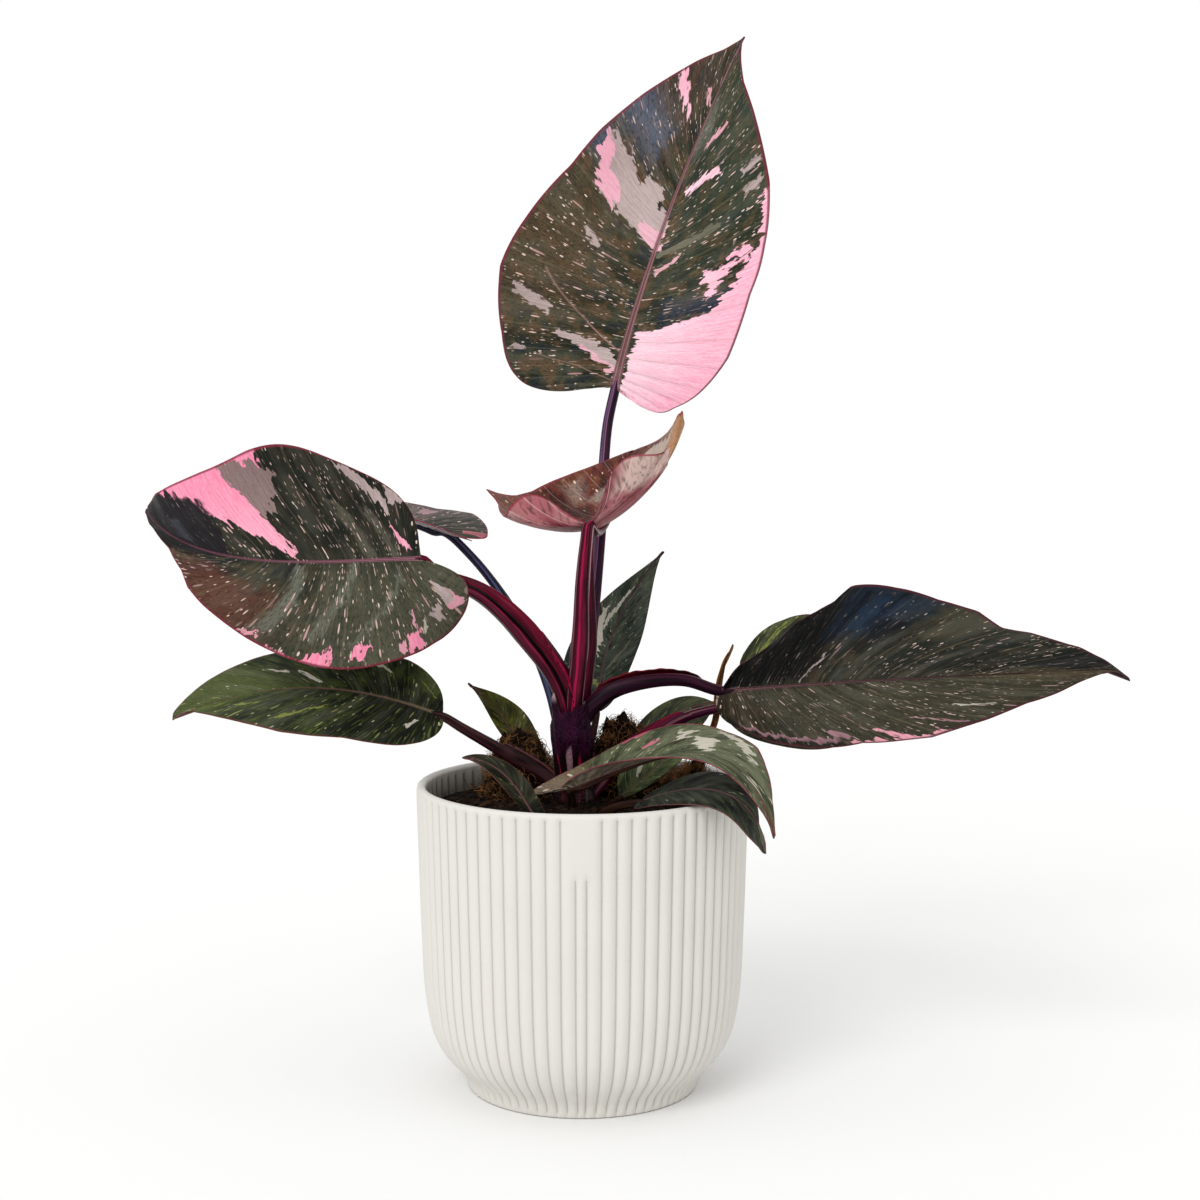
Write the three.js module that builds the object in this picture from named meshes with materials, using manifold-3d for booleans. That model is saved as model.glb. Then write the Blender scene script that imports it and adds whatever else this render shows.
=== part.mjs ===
// A pink princess philodendron in its ribbed pot. Millimetres, +Z up. The origin is the middle of the
// pot's underside, and -Y is the plant's front.
import * as THREE from "three";
import { mergeVertices } from "three/addons/utils/BufferGeometryUtils.js";
import Module from "manifold-3d";

const wasm = await Module();
wasm.setup();

// Driving dimensions ---------------------------------------------------------------------------

const GAP = 0.3; // between two pieces that touch
const BLADE = 0.8; // thickness of a leaf blade
const LOBE_AT = 0.14; // how far along a margin the basal lobe reaches furthest back
const VEIN_LEAN = 2.2; // how strongly the side veins gather towards the leaf's base
const VEIN_BEND = 1.25; // how much a side vein bends forward on its way to the margin
const CUP_SPAN = 50; // a blade's cup is the angle that it turns over this width
const WAVE_LAG = 0.3; // how far the left half's waves trail the right half's, in waves

// How finely the pieces are faceted
const LARGE_LEAF = 95; // a longer midrib than this gets another column in each half
const ROW_SPACING = 9; // between a blade's rows
const RING_SPACING = 12; // between a stalk's rings
const THICK_STALK = 2.5; // a stalk with a wider foot than this gets more sides

const POT = {
  ribs: 72,
  narrowRib: 3.6, // degrees, the one rib at the front that is narrower than the rest
  grooveWidth: 0.34, // share of a rib's pitch
  grooveDepth: 1,
  patchFoot: 104, // height at which the narrow rib's grooves end, under a bare patch
  inside: [
    // radius, height
    [44, 3.5],
    [51, 10],
    [60.5, 24],
    [63.8, 44],
    [66.2, 130],
  ],
  outside: [
    // radius, height
    [49.2, 0],
    [50.4, 5],
    [54.5, 9.5],
    [59.8, 16],
    [64.2, 25],
    [67.2, 42],
    [69.6, 104],
    [70.2, 127],
    [69.2, 130],
  ],
};

const CAVITY_SIDES = 72;
const CAVITY_TOP = 140; // the cavity is cut up to here, past the rim

const SOIL = { wallHeight: 119, crownHeight: 123, lump: 1.2, sides: 36, rings: 4 };

const CROWN = { sides: 12, foot: [-4, 0, 96], top: [-2.5, -1, 152], radii: [7, 9, 8.4, 6.5] };

const MOUND = { sides: 14, levels: 5, sunk: 8, lump: 0.16 };
const MOUNDS = [
  { name: "moss_left", middle: [-27, 15], size: [17, 15], top: 151, seed: 4 },
  { name: "moss_right", middle: [17, 17], size: [17, 14], top: 157, seed: 9 },
];

const COLOURS = {
  pot: [0xe8e7e2, 0.55],
  soil: [0x2a1d15, 0.95],
  moss: [0x4d3d22, 0.95],
  crown: [0x4a1830, 0.6],
  husk: [0x6b4420, 0.8],
  stalk: [0x5a1028, 0.45],
  dark: [0x23281c, 0.4],
  green: [0x34451f, 0.45],
  young: [0x7a3a34, 0.5],
  sage: [0x7b7c5c, 0.5],
};

// A leaf's margin is given for each half, right and left of the midrib seen from above with the tip
// ahead: [half width, reach of the basal lobe, belly, point, blunt]. A larger belly brings the widest
// place nearer the base, a larger point draws the tip out, and a smaller blunt squares the base.
// faces: where the upper face looks, at the base and at the tip. folds: how far each half is folded
// up from the midrib, at the base and at the tip. cup: how each half curves, in degrees over
// CUP_SPAN. wave: height, count and shift of the waves in the margin. The stalk runs from the crown
// to the blade, radii at foot, middle and neck, and channel is the share of it that is hollowed out
// on the side towards `groove`.
const LEAVES = [
  {
    name: "top_leaf",
    colour: "dark",
    midrib: [[14, 54, 296.5], [21.5, 45, 332.5], [44, 30, 395], [68.5, 44, 445]],
    faces: [[-0.1, -1, 0.1], [0.1, -1, 0.1]],
    right: [48.4, 7.5, 1.25, 2.6, 0.7],
    left: [62.2, 10.8, 2.1, 2, 0.6],
    folds: [[10, 26], [-6, 26]],
    cup: [2, -14],
    stalk: [[-3.5, 4, 140], [0, 7, 164], [3, 12, 189.5], [6, 22, 216.5], [8.5, 40, 245.5],
      [9.5, 53, 266], [11, 56.5, 281], [14, 55.5, 295.5]],
    radii: [4.2, 3, 2.2],
    channel: 0.25,
    groove: [1, 0, 0],
  },
  {
    name: "young_leaf",
    colour: "young",
    midrib: [[3.5, -20, 241.5], [6.5, -4, 233.5], [13, 15, 240.5], [22, 34, 269.5]],
    faces: [[-0.36, -0.15, 0.92], [-0.36, -0.3, 0.88]],
    right: [62, 11, 1, 1.5, 0.9],
    left: [50, 9, 1.15, 1.5, 0.8],
    folds: [[8, 17], [9, -10]],
    cup: [36, 50],
    rise: 16,
    stalk: [[-4.5, -7, 138], [-2, -10, 166], [0.5, -14, 192.5], [1, -18, 217.5], [2, -20.5, 232.5],
      [3, -20.5, 240.5]],
    radii: [4.2, 5.2, 2.6],
    channel: 0.45,
    groove: [0.8, -0.6, 0],
  },
  {
    name: "left_leaf",
    colour: "dark",
    midrib: [[-67.5, -12, 226], [-101.5, -36, 227.5], [-153, -62, 221.5], [-178.5, -20, 247]],
    faces: [[-0.05, -0.93, 0.35], [-0.5, -0.8, 0.3]],
    right: [46.7, 2.2, 1.2, 1.7, 1.1],
    left: [43.2, 21.8, 1.9, 3, 1.1],
    folds: [[10, 15], [-6, -21]],
    cup: [-6, -18],
    wave: [-2, 3, 0.21],
    stalk: [[-4, -8, 142], [-5, -9, 160], [-10, -10, 176], [-19.5, -11, 190], [-32, -8.5, 203.5],
      [-44, -1.5, 211.5], [-56.5, 0.5, 216.5], [-62, -3.5, 219.5], [-66.5, -9, 225]],
    radii: [4.4, 5.4, 2.4],
    channel: 0.5,
    groove: [0.1, -1, 0.35],
  },
  {
    name: "hidden_leaf",
    colour: "dark",
    midrib: [[-60, 20, 235], [-85, 35, 242], [-105.5, 50, 249.5], [-131.5, 47, 242]],
    faces: [[0, -0.3, 0.95], [-0.1, -0.3, 0.95]],
    right: [23.9, 18.3, 2, 1.5, 1.1],
    left: [30, 20, 1.8, 1.5, 1.2],
    folds: [[2, -15], [31, 10]],
    cup: [-17, -1],
    stalk: [[-7, 5, 140], [-9.5, 7, 150], [-14, 10, 168], [-22.5, 15, 188.5], [-35.5, 20, 209],
      [-48, 21.5, 224.5], [-59, 20.5, 234.5]],
    radii: [2.6, 2.1, 1.8],
  },
  {
    name: "low_left_leaf",
    colour: "green",
    midrib: [[-60, 4, 158], [-100.5, 1.5, 174], [-131.5, -16.5, 177], [-172.5, -4, 157.5]],
    faces: [[0, -0.7, 0.7], [-0.1, -0.7, 0.7]],
    right: [21.2, 0, 1.75, 1, 1.6],
    left: [26.1, 2.9, 1.2, 3, 1],
    folds: [[8, 1], [1, 16]],
    cup: [-15, -20],
    stalk: [[-6, 0, 119], [-14, 2, 130], [-33, 4, 142], [-51, 4, 152.5], [-59.5, 4, 157.5]],
    radii: [3, 2.9, 1.9],
  },
  {
    name: "right_leaf",
    colour: "dark",
    midrib: [[57, -12, 170.5], [108.5, -27, 177.5], [171.5, -42, 181.5], [224.5, -30, 182.5]],
    faces: [[0, -0.87, 0.5], [0.1, -0.8, 0.6]],
    right: [27.4, 4.3, 1.05, 3, 1],
    left: [35.6, 0, 1.17, 3, 2.6],
    folds: [[-4, 28], [38, -6]],
    cup: [-24, -6],
    wave: [-5, 3, 0.08],
    stalk: [[-4, -6, 132], [-4, -9, 148], [2, -12, 161.5], [11.5, -13, 170.5], [26, -14, 175],
      [42.5, -13, 175.5], [56.5, -12, 171]],
    radii: [4, 3.6, 2.4],
    channel: 0.3,
  },
  {
    name: "rear_right_leaf",
    colour: "green",
    midrib: [[59.5, 6, 161], [82.5, 13.5, 169], [104.5, 17.5, 172.5], [132, 10, 174]],
    faces: [[0, -0.8, 0.5], [0.1, -0.8, 0.5]],
    right: [31.3, 2.7, 0.85, 1.2, 0.7],
    left: [34.4, 0, 0.9, 1.5, 2.6],
    folds: [[12, 0], [5, -8]],
    cup: [-11, -19],
    stalk: [[-2, 3, 114], [7.5, 5, 127], [17, 8, 138], [29, 9, 147.5], [43.5, 8, 156.5],
      [59, 6, 161]],
    radii: [3.2, 3, 2],
    channel: 0.3,
  },
  {
    name: "centre_leaf",
    colour: "green",
    midrib: [[6, 34, 155], [7.5, 38, 184.5], [18.5, 33, 206], [35.5, 46, 224.5]],
    faces: [[0, -0.95, 0.3], [0, -0.95, 0.3]],
    right: [12.9, 0, 1.2, 3, 1.3],
    left: [17.2, 0, 2.1, 3, 1],
    folds: [[12, 4], [11, 0]],
    cup: [-10, -10],
    stalk: [[-1, 10, 110], [0, 17, 121], [2, 27, 135], [4.5, 32, 146], [6, 34, 154.5]],
    radii: [2, 1.8, 1.5],
  },
  {
    name: "rear_left_leaf",
    colour: "green",
    midrib: [[-24.5, 38, 134], [-32, 39.5, 146], [-37, 44.5, 155], [-50.5, 34, 167.5]],
    faces: [[-0.2, -0.8, 0.5], [-0.2, -0.8, 0.5]],
    right: [9.7, 1.9, 1.6, 3, 1],
    left: [4.8, 0.2, 1.35, 3, 1],
    folds: [[12, 5], [12, 6]],
    cup: [0, 0],
    stalk: [[-9, 9, 110], [-14, 20, 119], [-20, 32, 126], [-24, 37.5, 133]],
    radii: [1.8, 1.6, 1.3],
  },
  {
    name: "front_left_leaf",
    colour: "green",
    midrib: [[-18.5, -44, 123.5], [-24.5, -42, 131.5], [-30, -40, 146.5], [-48.5, -38, 147]],
    faces: [[-0.2, -0.7, 0.7], [-0.2, -0.5, 0.8]],
    right: [5.4, 5.2, 1.45, 1.3, 0.9],
    left: [4.5, 0, 1, 2.7, 1.2],
    folds: [[12, 5], [12, 5]],
    cup: [0, 0],
    stalk: [[-6, -7, 110], [-10.5, -24, 117], [-14.5, -35, 120], [-18, -43.5, 123]],
    radii: [1.8, 1.6, 1.3],
  },
  {
    name: "front_leaf",
    colour: "sage",
    midrib: [[-4, -26, 132.5], [30, -48, 152], [65.5, -52, 166.5], [76.5, -60, 118.5]],
    faces: [[-0.1, -0.2, 0.95], [0.4, -0.8, 0.4]],
    right: [9.1, 6, 1, 2.7, 1],
    left: [14.2, 30, 1, 2.3, 0.5],
    folds: [[60, -4], [26, 7]],
    cup: [4, -15],
    stalk: [[-4, -6, 112], [-4.5, -14, 121], [-4.5, -20, 127], [-4.3, -25.5, 131.5]],
    radii: [2.4, 2.2, 1.7],
  },
  {
    name: "rim_leaf",
    colour: "dark",
    midrib: [[24, -36, 128.5], [41.5, -41, 137.5], [69, -55, 143.5], [73.5, -54, 111]],
    faces: [[0, -0.3, 0.95], [0.4, -0.8, 0.5]],
    right: [10.5, 3.4, 1.15, 1.1, 1.1],
    left: [11.2, 0, 1.3, 3, 1.8],
    folds: [[7, 5], [-6, 11]],
    cup: [-10, -10],
    stalk: [[-1, -7, 112], [7.5, -20, 120], [15.5, -29, 125.5], [23.5, -35.5, 128]],
    radii: [2.2, 2, 1.6],
  },
  {
    name: "inner_front_leaf",
    colour: "green",
    midrib: [[16, -14, 126.5], [25.5, -12.5, 134.5], [37, -17.5, 146], [49, -10, 149]],
    faces: [[0, -0.8, 0.5], [0, -0.7, 0.6]],
    right: [5.3, 0, 1, 2.3, 1.3],
    left: [11.9, 0, 1, 1.5, 1.2],
    folds: [[8, 5], [8, 5]],
    cup: [0, 0],
    stalk: [[1, -3, 110], [7.5, -9, 118], [12, -12.5, 123], [16, -14, 126]],
    radii: [1.8, 1.6, 1.3],
  },
  {
    name: "inner_right_leaf",
    colour: "green",
    midrib: [[19.5, 28, 140], [30.5, 30.5, 149.5], [44, 32.5, 158], [57, 27, 160]],
    faces: [[0, -0.7, 0.7], [0, -0.7, 0.7]],
    right: [13.7, 0, 0.85, 1, 1],
    left: [7.5, 0, 0.85, 2.2, 1.3],
    folds: [[11, -10], [8, 6]],
    cup: [0, 0],
    stalk: [[1, 7, 110], [7.5, 18, 120.5], [13.5, 25.5, 130.5], [19.5, 28, 139.5]],
    radii: [1.8, 1.6, 1.3],
  },
];

// A dry sheath, left standing beside the right-hand stalks
const HUSK = {
  stalk: [[54, 9, 147], [57, 9.5, 156], [57.5, 10, 166], [60, 10, 178], [64, 9, 187]],
  radii: [1.6, 1.9, 0.8],
  groove: [0, -1, 0],
};

// Helpers --------------------------------------------------------------------------------------

const vector = (p) => new THREE.Vector3(...p);
const radians = THREE.MathUtils.degToRad;

// A small repeatable random number source, 0 to 1.
function randomSource(seed) {
  let state = seed >>> 0;
  return () => {
    state = (Math.imul(state, 1664525) + 1013904223) >>> 0;
    return state / 2 ** 32;
  };
}

// A closed skin over a stack of rings. Each ring runs anticlockwise seen from the last one's side. The
// ends are closed to their middle, or to the point that an end ring of one point is. mirrored says
// which columns split their quads along the other diagonal.
function skin(rings, mirrored = () => false) {
  const points = [];
  const faces = [];
  const add = (p) => points.push(p) - 1;
  const count = Math.max(...rings.map((ring) => ring.length));
  const index = rings.map((ring) => ring.map(add));
  const close = (ring, over) => {
    const middle = ring.reduce((sum, i) => sum.add(points[i]), new THREE.Vector3());
    const tip = add(middle.divideScalar(ring.length));
    fan(ring, tip, over);
  };
  const fan = (ring, tip, over) => {
    for (let k = 0; k < count; k++) {
      const a = ring[k];
      const b = ring[(k + 1) % count];
      faces.push(over ? [a, b, tip] : [b, a, tip]);
    }
  };
  for (let i = 0; i + 1 < index.length; i++) {
    const [low, high] = [index[i], index[i + 1]];
    if (low.length === 1) {
      fan(high, low[0], false);
      continue;
    }
    if (high.length === 1) {
      fan(low, high[0], true);
      continue;
    }
    for (let k = 0; k < count; k++) {
      const n = (k + 1) % count;
      if (mirrored(k)) {
        faces.push([low[k], low[n], high[k]], [low[n], high[n], high[k]]);
      } else {
        faces.push([low[k], low[n], high[n]], [low[k], high[n], high[k]]);
      }
    }
  }
  if (index[0].length > 1) close(index[0], false);
  if (index.at(-1).length > 1) close(index.at(-1), true);
  const geometry = new THREE.BufferGeometry();
  const flat = points.flatMap((p) => [p.x, p.y, p.z]);
  geometry.setAttribute("position", new THREE.Float32BufferAttribute(flat, 3));
  geometry.setIndex(faces.flat());
  return geometry;
}

// A closed geometry as a solid to cut with, and back.
function solidOf(geometry) {
  const merged = mergeVertices(geometry, 1e-4);
  return new wasm.Manifold(
    new wasm.Mesh({
      numProp: 3,
      vertProperties: merged.attributes.position.array,
      triVerts: new Uint32Array(merged.index.array),
    }),
  );
}

function geometryOf(solid) {
  const mesh = solid.getMesh();
  const geometry = new THREE.BufferGeometry();
  geometry.setAttribute("position", new THREE.BufferAttribute(mesh.vertProperties, 3));
  geometry.setIndex(new THREE.BufferAttribute(mesh.triVerts, 1));
  return geometry;
}

// A solid with others cut away, keeping only its largest body.
function cutBy(solid, others) {
  const left = others.reduce((rest, other) => rest.subtract(other), solid);
  const bodies = left.decompose();
  return bodies.reduce((best, body) => (body.volume() > best.volume() ? body : best));
}

const group = new THREE.Group();

function addMesh(name, geometry, [colour, roughness]) {
  const material = new THREE.MeshStandardMaterial({ color: colour, roughness, metalness: 0 });
  const shown = geometry.toNonIndexed();
  shown.computeVertexNormals();
  const mesh = new THREE.Mesh(shown, material);
  mesh.name = name;
  group.add(mesh);
}

// Leaf blades ----------------------------------------------------------------------------------

function marginAt([wide, lobe, belly, point, blunt], length, t) {
  const swell = Math.sin(Math.PI * t);
  const along = length * Math.pow((1 - Math.cos(Math.PI * t)) / 2, belly);
  const back = (t / LOBE_AT) * Math.exp(1 - t / LOBE_AT);
  return [wide * Math.pow(swell, t < 0.5 ? blunt : point), along - lobe * back];
}

// The point of a leaf at `share` of the way from the midrib to the margin, along the side vein at t,
// and the direction square to the blade there. side is 1 for the right half and -1 for the left.
function bladeAt(leaf, rib, side, share, t) {
  const half = side > 0 ? leaf.right : leaf.left;
  const pick = side > 0 ? 0 : 1;
  const length = rib.getLength();
  const [wide, reach] = marginAt(half, length, t);
  const root = length * Math.pow(t, VEIN_LEAN);
  const across = wide * share;
  const along = root + (reach - root) * Math.pow(share, VEIN_BEND);
  const q = THREE.MathUtils.clamp(along / length, 0, 1);
  const ahead = rib.getTangentAt(q);
  const up = vector(leaf.faces[0]).lerp(vector(leaf.faces[1]), q);
  up.addScaledVector(ahead, -up.dot(ahead)).normalize();
  const aside = new THREE.Vector3().crossVectors(ahead, up).multiplyScalar(side);
  const fold = radians(THREE.MathUtils.lerp(...leaf.folds[pick], q));
  const bend = radians(leaf.cup[pick] || 0.01) / CUP_SPAN;
  const tilt = fold + bend * across;
  const out = (Math.sin(tilt) - Math.sin(fold)) / bend;
  let height = (Math.cos(fold) - Math.cos(tilt)) / bend;
  let slope = 0;
  if (along < 0 && leaf.rise) {
    height += leaf.rise * (along / half[1]) ** 2;
    slope = (2 * leaf.rise * along) / half[1] ** 2;
  }
  const [waveHeight, waves, shift] = leaf.wave || [0, 0, 0];
  const phase = waves * t + shift + (side > 0 ? 0 : WAVE_LAG);
  height += waveHeight * share ** 2 * Math.sin(2 * Math.PI * phase);
  const point = rib.getPointAt(q).addScaledVector(ahead, along - q * length);
  point.addScaledVector(aside, out).addScaledVector(up, height);
  const square = up.multiplyScalar(Math.cos(tilt)).addScaledVector(aside, -Math.sin(tilt));
  square.addScaledVector(ahead, -slope).normalize();
  return { point, square };
}

// A blade is a stack of flat rings, one for each pair of side veins: over the upper face from left to
// right, and back under the lower one. Both faces are split along the same diagonals.
function bladeGeometry(leaf, thickness) {
  const rib = new THREE.CubicBezierCurve3(...leaf.midrib.map(vector));
  const length = rib.getLength();
  const columns = length > LARGE_LEAF ? 4 : 3;
  const rows = Math.round(THREE.MathUtils.clamp(length / ROW_SPACING + 2, 7, 16));
  const rings = [[rib.getPoint(0)]];
  for (let i = 1; i < rows; i++) {
    const upper = [];
    const lower = [];
    for (let j = -columns; j <= columns; j++) {
      const { point, square } = bladeAt(leaf, rib, j < 0 ? -1 : 1, Math.abs(j) / columns, i / rows);
      upper.push(point.clone().addScaledVector(square, thickness / 2));
      lower.push(point.clone().addScaledVector(square, -thickness / 2));
    }
    rings.push([...upper, ...lower.reverse()]);
  }
  rings.push([rib.getPoint(1)]);
  return skin(rings, (k) => k > 2 * columns);
}

// Leaf stalks ----------------------------------------------------------------------------------

// A stalk is a tube along a smooth path, with a channel down the side that looks towards `groove`.
function stalkGeometry({ stalk, radii, channel = 0, groove = [0, 0, 1] }, grow = 0) {
  const path = new THREE.CatmullRomCurve3(stalk.map(vector));
  const [foot, middle, neck] = radii;
  const sides = foot > THICK_STALK ? 10 : 8;
  const steps = Math.round(THREE.MathUtils.clamp(path.getLength() / RING_SPACING, 5, 14));
  const rings = [];
  for (let i = 0; i <= steps; i++) {
    const t = i / steps;
    const ahead = path.getTangentAt(t);
    const open = vector(groove);
    open.addScaledVector(ahead, -open.dot(ahead)).normalize();
    const side = new THREE.Vector3().crossVectors(ahead, open);
    const tapered =
      t < 0.5
        ? THREE.MathUtils.lerp(foot, middle, 2 * t)
        : THREE.MathUtils.lerp(middle, neck, 2 * t - 1);
    const radius = tapered + grow;
    const depth = channel * Math.min(1, 3 * (1 - t)); // the channel runs out towards the blade
    const ring = [];
    for (let k = 0; k < sides; k++) {
      const angle = (2 * Math.PI * k) / sides;
      const reach = k === 0 ? radius - tapered * depth : radius;
      const point = path.getPointAt(t).addScaledVector(open, reach * Math.cos(angle));
      ring.push(point.addScaledVector(side, -reach * Math.sin(angle)));
    }
    rings.push(ring);
  }
  return skin(rings.map((ring) => ring.reverse()));
}

// Pot ------------------------------------------------------------------------------------------

// Each rib is three points: the floor of the groove before it, and its two shoulders.
function potGeometry() {
  const pitch = (360 - POT.narrowRib) / (POT.ribs - 1);
  const angles = [];
  for (let rib = 0; rib < POT.ribs; rib++) {
    const width = rib ? pitch : POT.narrowRib;
    const start = rib ? POT.narrowRib / 2 + pitch * (rib - 1) : -POT.narrowRib / 2;
    const shoulder = (pitch * POT.grooveWidth) / 2;
    angles.push({ at: start, groove: true, patch: rib < 2 });
    angles.push({ at: start + shoulder }, { at: start + width - shoulder });
  }
  const rings = POT.outside.map(([radius, height], level) => {
    const plain = level >= POT.outside.length - 2;
    return angles.map(({ at, groove, patch }) => {
      const cut = groove && !plain && !(patch && height >= POT.patchFoot);
      const reach = radius - (cut ? POT.grooveDepth : 0);
      const turn = radians(at - 90);
      return new THREE.Vector3(reach * Math.cos(turn), reach * Math.sin(turn), height);
    });
  });
  return skin(rings);
}

// A stack of round rings, given as radius and height, with a change for each point.
function roundRings(profile, sides, change = (point) => point) {
  return profile.map(([radius, height], level) =>
    Array.from({ length: sides }, (_, k) => {
      const turn = (2 * Math.PI * k) / sides;
      const x = radius * Math.cos(turn);
      return change(new THREE.Vector3(x, radius * Math.sin(turn), height), level, k);
    }),
  );
}

const cavityProfile = [...POT.inside, [POT.inside.at(-1)[0], CAVITY_TOP]];
const cavity = solidOf(skin(roundRings(cavityProfile, CAVITY_SIDES)));
const pot = solidOf(potGeometry()).subtract(cavity);
addMesh("pot", geometryOf(pot), COLOURS.pot);

// Crown, leaves --------------------------------------------------------------------------------

function crownGeometry(grow = 0) {
  const { foot, top, radii, sides } = CROWN;
  const rings = radii.map((radius, i) => {
    const middle = vector(foot).lerp(vector(top), i / (radii.length - 1));
    const ring = roundRings([[radius + grow, 0]], sides)[0];
    return ring.map((point) => point.add(middle));
  });
  return skin(rings);
}

addMesh("crown", crownGeometry(), COLOURS.crown);
const clearances = [solidOf(crownGeometry(GAP))];
const blades = [];

for (const leaf of LEAVES) {
  const widened = solidOf(bladeGeometry(leaf, BLADE + 2 * GAP));
  const stalk = cutBy(solidOf(stalkGeometry(leaf)), [widened, ...clearances]);
  addMesh(leaf.name, bladeGeometry(leaf, BLADE), COLOURS[leaf.colour]);
  addMesh(leaf.name + "_stalk", geometryOf(stalk), COLOURS.stalk);
  clearances.push(solidOf(stalkGeometry(leaf, GAP)));
  blades.push(widened);
}

const husk = cutBy(solidOf(stalkGeometry(HUSK)), [...clearances, ...blades]);
addMesh("husk", geometryOf(husk), COLOURS.husk);

// Soil and moss --------------------------------------------------------------------------------

// The soil fills the pot's inside and rises a little towards the crown, in small lumps.
function soilGeometry(raised = 0) {
  const random = randomSource(7);
  const snug = Math.cos(Math.PI / CAVITY_SIDES);
  const [rim, rimHeight] = POT.inside.at(-1);
  const [shoulder, shoulderHeight] = POT.inside.at(-2);
  const wallShare = (SOIL.wallHeight - shoulderHeight) / (rimHeight - shoulderHeight);
  const wall = THREE.MathUtils.lerp(shoulder, rim, wallShare) * snug - 2 * GAP;
  const profile = POT.inside.slice(0, -1).map(([r, z], i) => [r * snug - 2 * GAP, z + (i ? 0 : GAP)]);
  profile.push([wall, SOIL.wallHeight]);
  const covered = profile.length;
  for (let ring = 1; ring < SOIL.rings; ring++) {
    const share = ring / SOIL.rings;
    const height = THREE.MathUtils.lerp(SOIL.wallHeight, SOIL.crownHeight, share);
    profile.push([wall * (1 - share), height]);
  }
  return skin(
    roundRings(profile, SOIL.sides, (point, level) => {
      const lump = level >= covered ? SOIL.lump * (2 * random() - 1) : 0;
      return point.setZ(point.z + lump + raised);
    }),
  );
}

// A mound is a rough dome, deepest in its middle.
function moundGeometry({ middle, size, top, seed }) {
  const random = randomSource(seed);
  const floor = SOIL.wallHeight - MOUND.sunk;
  const spread = new THREE.Vector3(...size, 1);
  const rings = [];
  for (let level = 0; level < MOUND.levels; level++) {
    const share = level / MOUND.levels;
    const reach = Math.sqrt(1 - share ** 2);
    const ring = roundRings([[1, 0]], MOUND.sides)[0];
    rings.push(
      ring.map((point) => {
        point.multiply(spread).multiplyScalar(reach * (1 + MOUND.lump * (2 * random() - 1)));
        return point.add(new THREE.Vector3(...middle, floor + (top - floor) * share));
      }),
    );
  }
  rings.push([new THREE.Vector3(...middle, top)]);
  return skin(rings);
}

const soil = cutBy(solidOf(soilGeometry()), [...clearances, ...blades]);
addMesh("soil", geometryOf(soil), COLOURS.soil);
const bed = solidOf(soilGeometry(GAP));
for (const mound of MOUNDS) {
  const heap = cutBy(solidOf(moundGeometry(mound)), [bed, ...clearances, ...blades]);
  addMesh(mound.name, geometryOf(heap), COLOURS.moss);
}

export default group;
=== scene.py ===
# %% [markdown]
# # A pink princess philodendron in its ribbed pot
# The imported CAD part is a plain, faceted model with the right places and sizes. This lesson dresses
# it: every leaf, stalk, clump of moss and the pot get a finer mesh in exactly the same place, and a
# procedural finish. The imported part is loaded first, because everything else is measured from it.

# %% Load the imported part
import math
import random

import bmesh
import bpy
import numpy as np
from mathutils import Matrix, Vector


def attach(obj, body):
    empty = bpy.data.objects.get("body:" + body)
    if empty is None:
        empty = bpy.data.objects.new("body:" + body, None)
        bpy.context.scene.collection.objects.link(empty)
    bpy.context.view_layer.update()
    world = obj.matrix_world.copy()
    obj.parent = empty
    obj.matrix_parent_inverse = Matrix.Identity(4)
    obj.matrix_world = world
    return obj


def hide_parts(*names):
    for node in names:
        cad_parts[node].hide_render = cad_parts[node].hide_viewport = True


MM = 0.001  # the tables below are in millimetres, and Blender's scene is in metres
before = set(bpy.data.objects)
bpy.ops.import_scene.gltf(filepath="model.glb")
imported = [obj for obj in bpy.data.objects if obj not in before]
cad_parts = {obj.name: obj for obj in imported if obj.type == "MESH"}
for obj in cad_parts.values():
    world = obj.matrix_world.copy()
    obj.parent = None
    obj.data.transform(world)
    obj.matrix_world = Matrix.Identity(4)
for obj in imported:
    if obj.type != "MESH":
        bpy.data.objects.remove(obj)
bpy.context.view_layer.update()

# %% [markdown]
# ## Camera
# A product camera stands a little above the pot's rim and looks slightly down, through a lens long
# enough to keep the pot's sides calm. A camera can be aimed by a constraint, but one place and one
# angle are easier to read and to change.

# %% Camera
CAMERA_PLACE, CAMERA_TILT = (0.0074, -0.890, 0.2964), 5.7  # metres, and degrees down from level
SENSOR, LENS = 36, 63.84  # mm
scene = bpy.context.scene


def add_object(name, data):
    made = bpy.data.objects.new(name, data)
    scene.collection.objects.link(made)
    return made


camera = add_object("camera", bpy.data.cameras.new("camera"))
camera.data.sensor_width = SENSOR
camera.data.lens = LENS
camera.location = CAMERA_PLACE
camera.rotation_euler = (math.radians(90 - CAMERA_TILT), 0, 0)
scene.camera = camera
print("camera at", CAMERA_PLACE, "with a lens of", LENS, "mm")

# %% [markdown]
# ## Studio light
# Soft studio light could be a dome of lamps. A bright, even world does the same with less noise. One
# lamp from the upper left gives the pot its shaded right side: a sun seen under a wide angle is a
# softbox far away, and it lights the whole floor evenly, so that the floor and the white world
# behind it can match.

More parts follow.
